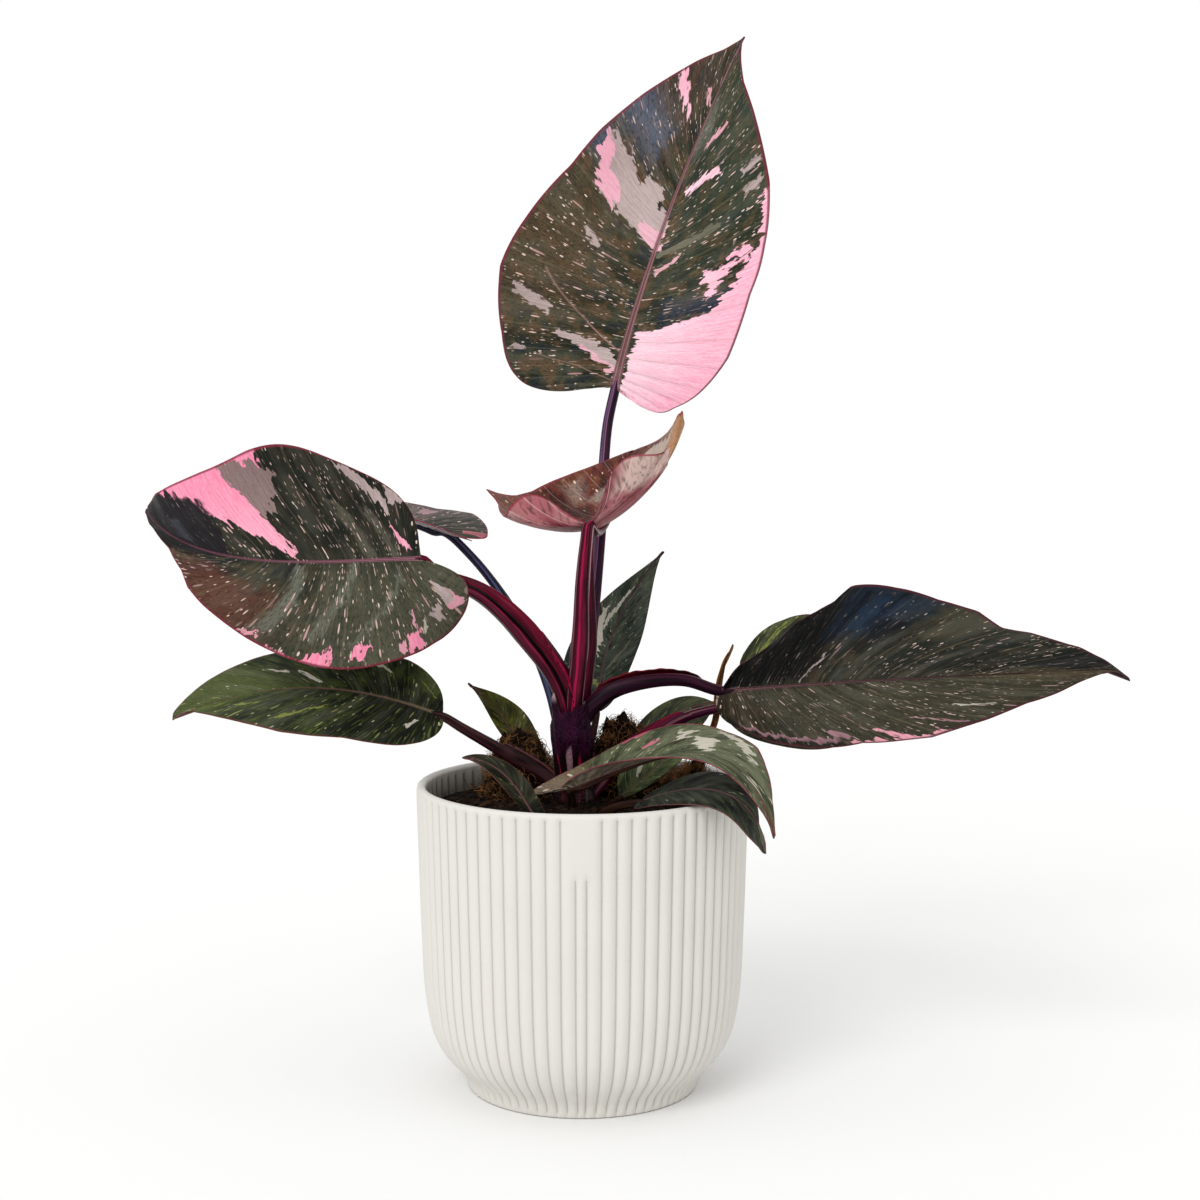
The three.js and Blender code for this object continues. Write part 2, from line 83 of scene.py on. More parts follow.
# %% Light
SUN_HEADING, SUN_STRENGTH, SUN_WIDTH = (0.40, 0.71, -0.57), 1.25, 32  # its width in degrees
scene.view_settings.view_transform = "Standard"
scene.world = bpy.data.worlds.new("studio")
scene.world.use_nodes = True
background = scene.world.node_tree.nodes["Background"]
background.inputs["Color"].default_value = (1, 1, 1, 1)
background.inputs["Strength"].default_value = 1.0
softbox = add_object("softbox", bpy.data.lights.new("softbox", "SUN"))
softbox.data.energy = SUN_STRENGTH
softbox.data.angle = math.radians(SUN_WIDTH)
softbox.rotation_euler = Vector(SUN_HEADING).to_track_quat("-Z", "Y").to_euler()
print("softbox of strength", SUN_STRENGTH, "in an even white studio")

# %% [markdown]
# ## Finishes from nodes
# A material is a small graph of nodes. Wiring each graph by hand takes many lines, so a helper
# keeps the few kinds of node that all finishes here share: arithmetic, soft steps, coats of colour
# and stretched noise.

# %% A small wiring helper


def tone(code):
    """A colour code as the linear numbers that shaders work in."""
    parts = [int(code[i : i + 2], 16) / 255 for i in (1, 3, 5)]
    return (*[c / 12.92 if c <= 0.04045 else ((c + 0.055) / 1.055) ** 2.4 for c in parts], 1)


class Wiring:
    """Adds and links nodes in one node tree."""

    def __init__(self, tree):
        self.tree = tree

    def feed(self, socket, value):
        if isinstance(value, bpy.types.NodeSocket):
            self.tree.links.new(value, socket)
        else:
            socket.default_value = value

    def node(self, kind, inputs, **settings):
        made = self.tree.nodes.new("ShaderNode" + kind)
        for key, value in settings.items():
            setattr(made, key, value)
        for key, value in inputs.items():
            self.feed(made.inputs[key], value)
        return made

    def maths(self, operation, a, b=0.0):
        return self.node("Math", {0: a, 1: b}, operation=operation).outputs[0]

    def plus(self, a, b):
        return self.maths("ADD", a, b)

    def minus(self, a, b):
        return self.maths("SUBTRACT", a, b)

    def times(self, a, b):
        return self.maths("MULTIPLY", a, b)

    def size(self, a):
        return self.maths("ABSOLUTE", a)

    def step(self, value, low, high, start=0.0, end=1.0, kind="SMOOTHSTEP"):
        """`start` below low, `end` above high, and a soft change between."""
        inputs = {"Value": value, "From Min": low, "From Max": high, "To Min": start, "To Max": end}
        return self.node("MapRange", inputs, interpolation_type=kind).outputs[0]

    def sway(self, value, low, high, reach):
        """Turns a noise between low and high into an even push from -reach to reach."""
        return self.step(value, low, high, -reach, reach, "LINEAR")

    def blend(self, share, a, b):
        return self.node("Mix", {0: share, 6: a, 7: b}, data_type="RGBA").outputs[2]

    def coat(self, colour, share, code):
        """Lays a colour over what is there, as far as share says."""
        return self.blend(share, colour, tone(code))

    def split(self, vector):
        return self.node("SeparateXYZ", {0: vector}).outputs

    def stretch(self, vector, factors):
        return self.node("VectorMath", {0: vector, 1: factors}, operation="MULTIPLY").outputs[0]

    def noise(self, vector, scale=1.0, detail=2.0):
        return self.node("TexNoise", {"Vector": vector, "Scale": scale, "Detail": detail}).outputs[0]

    def long_noise(self, vector, factors, detail):
        """A noise whose grains are drawn out: small factors make long grains."""
        return self.noise(self.stretch(vector, factors), 1, detail)

    def attribute(self, name):
        return self.node("Attribute", {}, attribute_name=name).outputs["Vector"]

    def place(self):
        return self.node("TexCoord", {}).outputs["Object"]


print("colour helper gives", [round(part, 3) for part in tone("#808080")], "for a middle grey")

# %% [markdown]
# ## A finish
# Every finish is one Principled shader with a colour, often a fine relief, and sometimes a roughness
# that varies. Numbers that stay the same go straight onto the shader's sockets. Many plain things,
# such as coir and bark, are just two tones mixed by a noise, so they share one short function.

# %% Finishes


class Finish(Wiring):
    """A material with a Principled shader. Fixed numbers go straight onto the shader's sockets."""

    def __init__(self, name, roughness, specular):
        self.material = bpy.data.materials.new(name)
        self.material.use_nodes = True
        super().__init__(self.material.node_tree)
        self.shader = self.tree.nodes["Principled BSDF"]
        self.shader.inputs["Roughness"].default_value = roughness
        self.shader.inputs["Specular IOR Level"].default_value = specular

    def bands(self, colour, place, rows, soft, amount, within=None):
        """Stripes across `place`. Each row is a middle, a half width and a colour code."""
        for middle, half, code in rows:
            off = self.size(self.minus(place, middle))
            stripe = self.step(off, half + soft, half - soft, 0, amount)
            colour = self.coat(colour, stripe if within is None else self.times(within, stripe), code)
        return colour

    def wear(self, colour, height=None, distance=0.1, roughness=None):
        """Connects the colour, a relief of `distance` mm and, where it varies, the roughness."""
        self.feed(self.shader.inputs["Base Color"], colour)
        if roughness is not None:
            self.feed(self.shader.inputs["Roughness"], roughness)
        if height is not None:
            bump = self.node("Bump", {"Height": height, "Distance": distance * MM, "Strength": 1.0})
            self.feed(self.shader.inputs["Normal"], bump.outputs[0])
        return self.material


def speckled(name, shine, spots, tones, relief=None, distance=0.05):
    """Two tones mixed by a noise. `shine` is roughness and specular level. `spots` and, where the
    relief has a noise of its own, `relief` are scale and detail."""
    f = Finish(name, *shine)
    where = f.place()
    mix = f.noise(where, *spots)
    height = f.noise(where, *relief) if relief else mix
    return f.wear(f.blend(f.step(mix, 0.35, 0.65), *(tone(code) for code in tones)), height, distance)


print("finishes ready")

# %% [markdown]
# ## Meshes from bent grids
# A leaf blade, a stalk and the crown are all sheets: flat, or rolled into a tube. Blender's grid
# operator makes the sheet, and a formula that works on all its points at once moves them into
# place. Where a rolled sheet meets itself, the doubled points are merged. Values that a finish
# needs, such as how far a point is along a vein, are stored on the points as attributes. Round
# things, such as the pot and the soil, are spun from an outline.

# %% Sheets and spun shapes
DOUBLES = 0.01 * MM  # points closer than this are one point


def bent_grid(columns, rows, bend):
    """A grid whose points (u, v), both 0 to 1, are moved by bend(u, v) -> places in mm, attributes."""
    mesh = bmesh.new()
    bmesh.ops.create_grid(mesh, x_segments=columns, y_segments=rows, size=1)
    flat = np.array([vert.co[:2] for vert in mesh.verts])
    places, marks = bend((flat[:, 0] + 1) / 2, (flat[:, 1] + 1) / 2)
    for vert, place in zip(mesh.verts, places * MM):
        vert.co = place
    for name, values in marks.items():
        layer = mesh.verts.layers.float_vector.new(name)
        for vert, value in zip(mesh.verts, values):
            vert[layer] = value
    return mesh


def spun(outline, steps):
    """A full turn of an outline of (radius, height) in mm, begun at the front."""
    mesh = bmesh.new()
    points = [mesh.verts.new((0, -r * MM, z * MM)) for r, z in outline]
    edges = [mesh.edges.new(pair) for pair in zip(points, points[1:])]
    bmesh.ops.spin(mesh, geom=points + edges, cent=(0, 0, 0), axis=(0, 0, 1), steps=steps,
        angle=2 * math.pi, use_merge=True, use_duplicate=False)
    bmesh.ops.remove_doubles(mesh, verts=mesh.verts, dist=DOUBLES)
    return mesh


print("points merge below", DOUBLES / MM, "mm")

# %% [markdown]
# ## Pieces
# A piece is a mesh with its finishes that stands for a node of the CAD part, or is added to it, and
# that moves with the plant. Thin sheets get their wall from a Solidify modifier, which is easier to
# change than a wall that is built by hand.

# %% Pieces


def dress(piece, finishes, node):
    for finish in finishes:
        piece.data.materials.append(finish)
    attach(piece, "root")
    if node:
        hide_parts(node)
    print(piece.name, len(piece.data.polygons), "faces")
    return piece


def add_piece(name, mesh, finishes, node, tube=False):
    """Turns a bmesh into a smooth object that stands for a CAD node and moves with the plant."""
    bmesh.ops.remove_doubles(mesh, verts=mesh.verts, dist=DOUBLES)
    if tube:
        bmesh.ops.holes_fill(mesh, edges=[e for e in mesh.edges if e.is_boundary])
        bmesh.ops.recalc_face_normals(mesh, faces=mesh.faces)
    for face in mesh.faces:
        face.smooth = True
    data = bpy.data.meshes.new(name)
    mesh.to_mesh(data)
    mesh.free()
    return dress(add_object(name, data), finishes, node)


def thicken(piece, thickness, offset=0.0):
    """Gives a sheet a wall. An offset of 0 is half to each side, -1 is all behind the sheet."""
    wall = piece.modifiers.new("thickness", "SOLIDIFY")
    wall.thickness, wall.offset = thickness * MM, offset
    return wall


print("pieces ride on the root body")

# %% [markdown]
# ## Smooth paths
# Outlines and stalks are given by a few points. A curve object could join them, but the formulas
# below need places and lengths as arrays, so a short function walks a smooth curve through the
# points in even steps.

# %% Smooth paths


def unit(vectors):
    return vectors / np.linalg.norm(vectors, axis=-1, keepdims=True)


def walked(path):
    """How far each point of a path is from its start."""
    return np.concatenate([[0], np.cumsum(np.linalg.norm(np.diff(path, axis=0), axis=1))])


def look_up(wanted, knots, table):
    """Rows of a table between its knots, each column worked out on its own."""
    return np.stack([np.interp(wanted, knots, column) for column in table.T], axis=1)


def smooth_path(points, count):
    """An even walk along a smooth curve through the points (a centripetal Catmull-Rom curve)."""
    p = np.array(points, float)
    p = np.vstack([2 * p[0] - p[1], p, 2 * p[-1] - p[-2]])
    walk = []
    for a, b, c, d in zip(p, p[1:], p[2:], p[3:]):
        ab, bc, cd = (np.linalg.norm(y - x) ** 0.5 for x, y in ((a, b), (b, c), (c, d)))
        start = ((b - a) / ab - (c - a) / (ab + bc) + (c - b) / bc) * bc
        end = ((c - b) / bc - (d - b) / (bc + cd) + (d - c) / cd) * bc
        s = np.linspace(0, 1, 30)[:-1, None]
        walk.append(b * (2 * s**3 - 3 * s**2 + 1) + start * (s**3 - 2 * s**2 + s)
            + c * (3 * s**2 - 2 * s**3) + end * (s**3 - s**2))
    walk = np.vstack([*walk, p[-2:-1]])
    reach = walked(walk)
    return look_up(np.linspace(0, reach[-1], count), reach, walk)


print("a quarter turn in five points:", smooth_path([(1, 0), (0.71, 0.71), (0, 1)], 5).round(2).tolist())

# %% [markdown]
# ## The pot's outline
# A moulded pot with fine ribs could be modelled rib by rib. It is quicker to spin its smooth
# outline round the axis and then press the grooves in, because the grooves all follow the same
# outline. The outline runs up the outside, over the rim and down the inside.

# %% Pot outline
OUTSIDE = [(49.2, 0.6), (49.9, 3), (51, 6), (54.5, 10.2), (59.8, 16.2), (64.2, 25), (67.2, 42),
    (68.6, 70), (69.6, 104), (70.15, 124), (70.2, 127)]
RIM = [(70.15, 128.3), (69.8, 129.3), (69.1, 129.9), (68.2, 130), (67.2, 129.8), (66.5, 129.2),
    (66.2, 128.2)]
INSIDE = [(66.15, 126), (65.6, 104), (64.9, 80), (63.8, 44), (60.5, 24), (51, 10), (44, 3.6), (20, 3.5)]
UNDERSIDE = [(44, 1.6), (46.6, 1.2), (47.4, 0.1), (48.6, 0)]
POT_OUTLINE = [(0, 1.6), *UNDERSIDE, *smooth_path(OUTSIDE, 56), *RIM, *INSIDE, (0, 3.5)]
print("pot outline of", len(POT_OUTLINE), "points, rim radius", max(r for r, z in OUTSIDE), "mm")

# %% [markdown]
# ## The pot's ribs
# Each groove is a push inwards that depends only on how far a point is across its rib. The columns
# of points are crowded towards the grooves, where the wall bends most. One rib at the front is
# narrower, and its two grooves end below a small bare patch. The grooves also show faintly inside.

# %% Press the ribs
RIBS, NARROW_RIB, GROOVE_DEPTH, GROOVE_WITHIN = 72, 3.6, 1.25, 0.6  # NARROW_RIB is in degrees
COLUMNS_PER_RIB, CROWDING = 10, 0.09
PATCH_FOOT, PATCH_REACH = 104, 4.4  # mm above the floor, and degrees to each side of the front
RIB_TOP, RIB_TOP_FADE, RIB_FOOT_FADE = 128.6, 1.4, 1.2
# heights, and radii between the inner and the outer wall at those heights
WALL_MIDDLE = [0, 5, 16, 42, 127], [48.8, 49.4, 57, 66, 69.4]


def rib_angle(column):
    """The angle of a column of points, in degrees from the front, and its share across its rib."""
    rib, inside = divmod(column, COLUMNS_PER_RIB)
    share = inside / COLUMNS_PER_RIB
    share -= CROWDING * math.sin(2 * math.pi * share)
    pitch = (360 - NARROW_RIB) / (RIBS - 1)
    start = NARROW_RIB / 2 + pitch * (rib - 1) if rib else -NARROW_RIB / 2
    return start + share * (pitch if rib else NARROW_RIB), share


def limited(value):
    return min(1, max(0, value))


def groove_press(angle, share, z):
    """How far a point is pressed into a groove, 0 to 1."""
    press = abs(2 * share - 1) ** 1.9
    press *= limited((RIB_TOP - z) / RIB_TOP_FADE) * limited(z / RIB_FOOT_FADE)
    from_front = (angle + 180) % 360 - 180
    if abs(from_front) < PATCH_REACH and z > PATCH_FOOT - 2:
        press *= limited((PATCH_FOOT - z + 1) / 2)
    return press


def pot_mesh():
    columns = RIBS * COLUMNS_PER_RIB
    mesh = spun(POT_OUTLINE, columns)
    marks = mesh.verts.layers.float_vector.new("pot")
    for vert in mesh.verts:
        x, y, z = vert.co / MM
        radius = math.hypot(x, y)
        if radius < 1:
            continue
        column = round(math.degrees(math.atan2(x, -y)) % 360 / 360 * columns) % columns
        angle, share = rib_angle(column)
        press = groove_press(angle, share, z)
        outer = radius > np.interp(z, *WALL_MIDDLE)
        if outer:
            radius -= GROOVE_DEPTH * press
        elif z > 20:
            radius += GROOVE_WITHIN * press
        vert[marks] = (press, 0 if outer or z > 129 else 1, z)
        turn = math.radians(angle)
        vert.co = (radius * math.sin(turn) * MM, -radius * math.cos(turn) * MM, z * MM)
    bmesh.ops.recalc_face_normals(mesh, faces=mesh.faces)
    return mesh


print(RIBS, "ribs, the narrow one", NARROW_RIB, "degrees wide")

# %% [markdown]
# ## The pot's finish
# The pot is satin white and slightly warm. It is a little darker in the grooves, and inside it darkens
# towards the soil and in its faint grooves: all of this is painted shade. The mesh carries how deep
# each point is pressed and whether it is inside, so the finish needs no masks of its own.

# %% Pot finish


def pot_skin():
    f = Finish("moulded white", 0.55, 0.3)
    where = f.place()
    cloud = f.noise(where, 35, 3)
    grain = f.noise(where, 900, 2)
    height = f.split(where)[2]
    groove, within, level = f.split(f.attribute("pot"))[:3]
    shell = f.blend(cloud, tone("#cdcac4"), tone("#d4d1cb"))
    shell = f.coat(shell, f.step(height, 0.0, 0.02, 0.2, 0), "#d2cfc8")
    # painted shade: darker in the grooves
    shell = f.coat(shell, f.step(groove, 0.6, 1.0, 0, 0.58), "#a09a8e")
    # painted shade: the inside darker towards the soil, and darker still in its faint grooves
    shell = f.coat(shell, f.times(within, f.step(level, 128.5, 118, 0.42, 0.9)), "#5a5145")
    shell = f.coat(shell, f.times(within, f.step(groove, 0.2, 0.9, 0, 0.55)), "#4a4238")
    return f.wear(shell, grain, 0.03, f.step(cloud, 0.3, 0.7, 0.5, 0.62))


add_piece("pot_shell", pot_mesh(), [pot_skin()], "pot")

# %% [markdown]
# ## How a leaf blade is described
# Each half of a blade has its own margin. Side veins run from the midrib to the margin and bend
# towards the tip. The grid's columns are shares of the way out along a vein and its rows are the
# veins, so that anything that follows the veins, in shape or in colour, is easy to place. The blade
# is folded along the midrib, cupped, and a few margins are wavy. These are the CAD part's own
# numbers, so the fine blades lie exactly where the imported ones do.
#
# - midrib: four handles of a smooth curve, from the stalk to the tip, in mm
# - faces: the way the upper side faces at the stalk and at the tip
# - right, left: each half's width, its basal lobe, and how far the veins swing to the tip, how
#   pointed the tip is and how blunt the base is
# - folds: how far each half is folded up, in degrees, at the stalk and at the tip; cup: how far it
#   curls over its width
# - trim: small changes of the margin in mm, at places from 0 to 1 along the right (1) and left (-1)
#   margin; wave, hook and rise: a wavy margin, a hooked tip and a raised base
# - stalk, radii, channel, groove: the stalk's path, its radii at the foot, half way and the top, how
#   deep its channel is and which way it opens

# %% Upper leaves
LEAVES = {
    "top_leaf": dict(
        midrib=[(14, 54, 296.5), (21.5, 45, 332.5), (44, 30, 395), (68.5, 44, 445)],
        faces=[(-0.1, -1, 0.1), (0.1, -1, 0.1)], folds=[(10, 26), (-6, 26)], cup=(2, -14),
        right=(48.4, 7.5, 1.25, 2.6, 0.7), left=(62.2, 10.8, 2.1, 2, 0.6), hook=(1, 0, 1.5),
        trim={1: [(0.05, -0.8), (0.09, 0.8), (0.17, -1.6), (0.25, 0), (0.36, 1.7), (0.48, -0.8),
                (0.56, 0), (0.65, 2), (0.76, 0), (0.81, -1.7), (0.88, -0.8)],
            -1: [(0.05, 0), (0.13, 1.7), (0.22, 0), (0.37, -0.9), (0.5, 2.5), (0.58, 0), (0.66, -1.2),
                (0.71, 1.6), (0.77, 2.5), (0.85, 1.6), (0.9, 0)]},
        stalk=[(-3.5, 4, 140), (0, 7, 164), (3, 12, 189.5), (6, 22, 216.5), (8.5, 40, 245.5),
            (9.5, 53, 266), (11, 56.5, 281), (14, 55.5, 295.5)],
        radii=(4.2, 3, 2.2), channel=0.25, groove=(1, 0, 0), slot="leaf_dark"),
    "young_leaf": dict(
        midrib=[(3.5, -20, 241.5), (6.5, -4, 233.5), (13, 15, 240.5), (22, 34, 269.5)],
        faces=[(-0.36, -0.15, 0.92), (-0.36, -0.3, 0.88)], folds=[(8, 17), (9, -10)], cup=(36, 50),
        right=(62, 11, 1, 1.5, 0.9), left=(50, 9, 1.15, 1.5, 0.8), rise=16,
        trim={1: [(0.36, 0), (0.44, 0.8), (0.48, 4), (0.52, 2.4), (0.62, 4), (0.74, 5), (0.86, 3.5),
                (0.94, 2)],
            -1: [(0.1, -1), (0.2, 1), (0.3, -2.4), (0.42, -1.6), (0.455, 0.8), (0.49, 7), (0.515, 2.5),
                (0.56, -3.2), (0.62, -4.5), (0.7, -1.6), (0.78, 0.8), (0.88, 2.4)]},
        stalk=[(-4.5, -7, 138), (-2, -10, 166), (0.5, -14, 192.5), (1, -18, 217.5), (2, -20.5, 232.5),
            (3, -20.5, 240.5)],
        radii=(4.2, 5.2, 2.6), channel=0.45, groove=(0.8, -0.6, 0), slot="leaf_young"),
    "left_leaf": dict(
        midrib=[(-67.5, -12, 226), (-101.5, -36, 227.5), (-153, -62, 221.5), (-178.5, -20, 247)],
        faces=[(-0.05, -0.93, 0.35), (-0.5, -0.8, 0.3)], folds=[(10, 15), (-6, -21)], cup=(-6, -18),
        right=(46.7, 2.2, 1.2, 1.7, 1.1), left=(43.2, 21.8, 1.9, 3, 1.1), wave=(-2, 3, 0.21),
        trim={1: [(0.14, -2), (0.26, -1), (0.42, -0.8), (0.5, 0), (0.62, 1.6), (0.74, 1.6), (0.84, 0),
                (0.92, 1.6)],
            -1: [(0.18, 0.5), (0.33, -1.2), (0.45, 0), (0.6, 1.8), (0.66, 2.6), (0.72, 2.2), (0.745, 1),
                (0.76, -2.5), (0.8, -4), (0.84, -1), (0.9, 1.8)]},
        stalk=[(-4, -8, 142), (-5, -9, 160), (-10, -10, 176), (-19.5, -11, 190), (-32, -8.5, 203.5),
            (-44, -1.5, 211.5), (-56.5, 0.5, 216.5), (-62, -3.5, 219.5), (-66.5, -9, 225)],
        radii=(4.4, 5.4, 2.4), channel=0.5, groove=(0.1, -1, 0.35), slot="leaf_dark"),
    "hidden_leaf": dict(
        midrib=[(-60, 20, 235), (-85, 35, 242), (-105.5, 50, 249.5), (-131.5, 47, 242)],
        faces=[(0, -0.3, 0.95), (-0.1, -0.3, 0.95)], folds=[(2, -15), (31, 10)], cup=(-17, -1),
        right=(23.9, 18.3, 2, 1.5, 1.1), left=(30, 20, 1.8, 1.5, 1.2),
        trim={1: [(0.05, -2), (0.2, -3), (0.36, 0.8), (0.42, 2.8), (0.48, 0.8), (0.53, -3)],
            -1: [(0.06, -3), (0.14, -0.8), (0.22, 1.6), (0.3, 4), (0.36, 4)]},
        stalk=[(-7, 5, 140), (-9.5, 7, 150), (-14, 10, 168), (-22.5, 15, 188.5), (-35.5, 20, 209),
            (-48, 21.5, 224.5), (-59, 20.5, 234.5)],
        radii=(2.6, 2.1, 1.8), slot="leaf_dark"),
}
print(len(LEAVES), "leaves so far")

# %% [markdown]
# ## The leaves at the sides
# The lower leaves at the left and the right hang out level, with long stalks. They are described in
# the same way. The right-hand one has the waviest margin of all.

# %% Side leaves
LEAVES |= {
    "low_left_leaf": dict(
        midrib=[(-60, 4, 158), (-100.5, 1.5, 174), (-131.5, -16.5, 177), (-172.5, -4, 157.5)],
        faces=[(0, -0.7, 0.7), (-0.1, -0.7, 0.7)], folds=[(8, 1), (1, 16)], cup=(-15, -20),
        right=(21.2, 0, 1.75, 1, 1.6), left=(26.1, 2.9, 1.2, 3, 1),
        trim={1: [(0.16, -0.8), (0.3, 0), (0.4, 1.6), (0.5, 0), (0.7, 0.8), (0.8, 0.8), (0.9, -0.8)],
            -1: [(0.3, 0.8), (0.46, -0.8), (0.6, 1.6), (0.7, 0), (0.78, -1.6), (0.85, -3.2),
                (0.9, -1.6)]},
        stalk=[(-6, 0, 119), (-14, 2, 130), (-33, 4, 142), (-51, 4, 152.5), (-59.5, 4, 157.5)],
        radii=(3, 2.9, 1.9), slot="leaf_green"),
    "right_leaf": dict(
        midrib=[(57, -12, 170.5), (108.5, -27, 177.5), (171.5, -42, 181.5), (224.5, -30, 182.5)],
        faces=[(0, -0.87, 0.5), (0.1, -0.8, 0.6)], folds=[(-4, 28), (38, -6)], cup=(-24, -6),
        right=(27.4, 4.3, 1.05, 3, 1), left=(35.6, 0, 1.17, 3, 2.6), wave=(-5, 3, 0.08),
        hook=(-1, 0, -5),
        trim={1: [(0.1, 0.5), (0.2, 3), (0.27, 4.5), (0.34, 2.5), (0.42, -0.5), (0.52, 2.4), (0.6, 0),
                (0.66, -3.2), (0.76, -3), (0.82, -0.8), (0.88, 0.2), (0.93, 0)],
            -1: [(0.1, -1.5), (0.2, 1.5), (0.3, 2), (0.337, 2.6), (0.374, 0.8), (0.405, 0.3),
                (0.435, 3.8), (0.5, 1), (0.56, 0), (0.62, 1.6), (0.655, -2.2), (0.7, -0.5), (0.76, -1),
                (0.84, 0.6), (0.9, 0)]},
        stalk=[(-4, -6, 132), (-4, -9, 148), (2, -12, 161.5), (11.5, -13, 170.5), (26, -14, 175),
            (42.5, -13, 175.5), (56.5, -12, 171)],
        radii=(4, 3.6, 2.4), channel=0.3, slot="leaf_dark"),
    "rear_right_leaf": dict(
        midrib=[(59.5, 6, 161), (82.5, 13.5, 169), (104.5, 17.5, 172.5), (132, 10, 174)],
        faces=[(0, -0.8, 0.5), (0.1, -0.8, 0.5)], folds=[(12, 0), (5, -8)], cup=(-11, -19),
        right=(31.3, 2.7, 0.85, 1.2, 0.7), left=(34.4, 0, 0.9, 1.5, 2.6),
        trim={-1: [(0.24, -2), (0.3, 0.8), (0.46, -0.8), (0.54, 1)]},
        stalk=[(-2, 3, 114), (7.5, 5, 127), (17, 8, 138), (29, 9, 147.5), (43.5, 8, 156.5),
            (59, 6, 161)],
        radii=(3.2, 3, 2), channel=0.3, slot="leaf_green"),
}
print(len(LEAVES), "leaves so far")

# %% [markdown]
# ## Small leaves round the crown
# The seven small leaves are plain: most of them need no trim, no wave and no channel in the stalk.
# Two of them arch over the pot's rim.

# %% Small leaves
LEAVES |= {
    "centre_leaf": dict(
        midrib=[(6, 34, 155), (7.5, 38, 184.5), (18.5, 33, 206), (35.5, 46, 224.5)],
        faces=[(0, -0.95, 0.3), (0, -0.95, 0.3)], folds=[(12, 4), (11, 0)], cup=(-10, -10),
        right=(12.9, 0, 1.2, 3, 1.3), left=(17.2, 0, 2.1, 3, 1),
        stalk=[(-1, 10, 110), (0, 17, 121), (2, 27, 135), (4.5, 32, 146), (6, 34, 154.5)],
        radii=(2, 1.8, 1.5), slot="leaf_green"),
    "rear_left_leaf": dict(
        midrib=[(-24.5, 38, 134), (-32, 39.5, 146), (-37, 44.5, 155), (-50.5, 34, 167.5)],
        faces=[(-0.2, -0.8, 0.5), (-0.2, -0.8, 0.5)], folds=[(12, 5), (12, 6)], cup=(0, 0),
        right=(9.7, 1.9, 1.6, 3, 1), left=(4.8, 0.2, 1.35, 3, 1),
        stalk=[(-9, 9, 110), (-14, 20, 119), (-20, 32, 126), (-24, 37.5, 133)],
        radii=(1.8, 1.6, 1.3), slot="leaf_green"),
    "front_left_leaf": dict(
        midrib=[(-18.5, -44, 123.5), (-24.5, -42, 131.5), (-30, -40, 146.5), (-48.5, -38, 147)],
        faces=[(-0.2, -0.7, 0.7), (-0.2, -0.5, 0.8)], folds=[(12, 5), (12, 5)], cup=(0, 0),
        right=(5.4, 5.2, 1.45, 1.3, 0.9), left=(4.5, 0, 1, 2.7, 1.2),
        stalk=[(-6, -7, 110), (-10.5, -24, 117), (-14.5, -35, 120), (-18, -43.5, 123)],
        radii=(1.8, 1.6, 1.3), slot="leaf_green"),
    "front_leaf": dict(
        midrib=[(-4, -26, 132.5), (30, -48, 152), (65.5, -52, 166.5), (76.5, -60, 118.5)],
        faces=[(-0.1, -0.2, 0.95), (0.4, -0.8, 0.4)], folds=[(60, -4), (26, 7)], cup=(4, -15),
        right=(9.1, 6, 1, 2.7, 1), left=(14.2, 30, 1, 2.3, 0.5),
        trim={-1: [(0.6, 0), (0.66, 2.8), (0.7, 0.8), (0.78, -0.8), (0.94, 0.8)]},
        stalk=[(-4, -6, 112), (-4.5, -14, 121), (-4.5, -20, 127), (-4.3, -25.5, 131.5)],
        radii=(2.4, 2.2, 1.7), slot="leaf_sage"),
    "rim_leaf": dict(
        midrib=[(24, -36, 128.5), (41.5, -41, 137.5), (69, -55, 143.5), (73.5, -54, 111)],
        faces=[(0, -0.3, 0.95), (0.4, -0.8, 0.5)], folds=[(7, 5), (-6, 11)], cup=(-10, -10),
        right=(10.5, 3.4, 1.15, 1.1, 1.1), left=(11.2, 0, 1.3, 3, 1.8),
        trim={1: [(0.1, 1.6), (0.34, 2), (0.76, 0.5), (0.86, -0.8)],
            -1: [(0.64, 0), (0.72, -2.4), (0.78, -3.6), (0.86, -2.4), (0.92, -0.8)]},
        stalk=[(-1, -7, 112), (7.5, -20, 120), (15.5, -29, 125.5), (23.5, -35.5, 128)],
        radii=(2.2, 2, 1.6), slot="leaf_dark"),
    "inner_front_leaf": dict(
        midrib=[(16, -14, 126.5), (25.5, -12.5, 134.5), (37, -17.5, 146), (49, -10, 149)],
        faces=[(0, -0.8, 0.5), (0, -0.7, 0.6)], folds=[(8, 5), (8, 5)], cup=(0, 0),
        right=(5.3, 0, 1, 2.3, 1.3), left=(11.9, 0, 1, 1.5, 1.2),
        stalk=[(1, -3, 110), (7.5, -9, 118), (12, -12.5, 123), (16, -14, 126)],
        radii=(1.8, 1.6, 1.3), slot="leaf_green"),
    "inner_right_leaf": dict(
        midrib=[(19.5, 28, 140), (30.5, 30.5, 149.5), (44, 32.5, 158), (57, 27, 160)],
        faces=[(0, -0.7, 0.7), (0, -0.7, 0.7)], folds=[(11, -10), (8, 6)], cup=(0, 0),
        right=(13.7, 0, 0.85, 1, 1), left=(7.5, 0, 0.85, 2.2, 1.3),
        stalk=[(1, 7, 110), (7.5, 18, 120.5), (13.5, 25.5, 130.5), (19.5, 28, 139.5)],
        radii=(1.8, 1.6, 1.3), slot="leaf_green"),
}
print(len(LEAVES), "leaves so far")

# %% [markdown]
# ## The midrib
# A blade hangs on its midrib. Four handles make one smooth curve, and the blade needs to know where
# a point lies a given share of its length along, and which way the blade faces there.

# %% Midrib


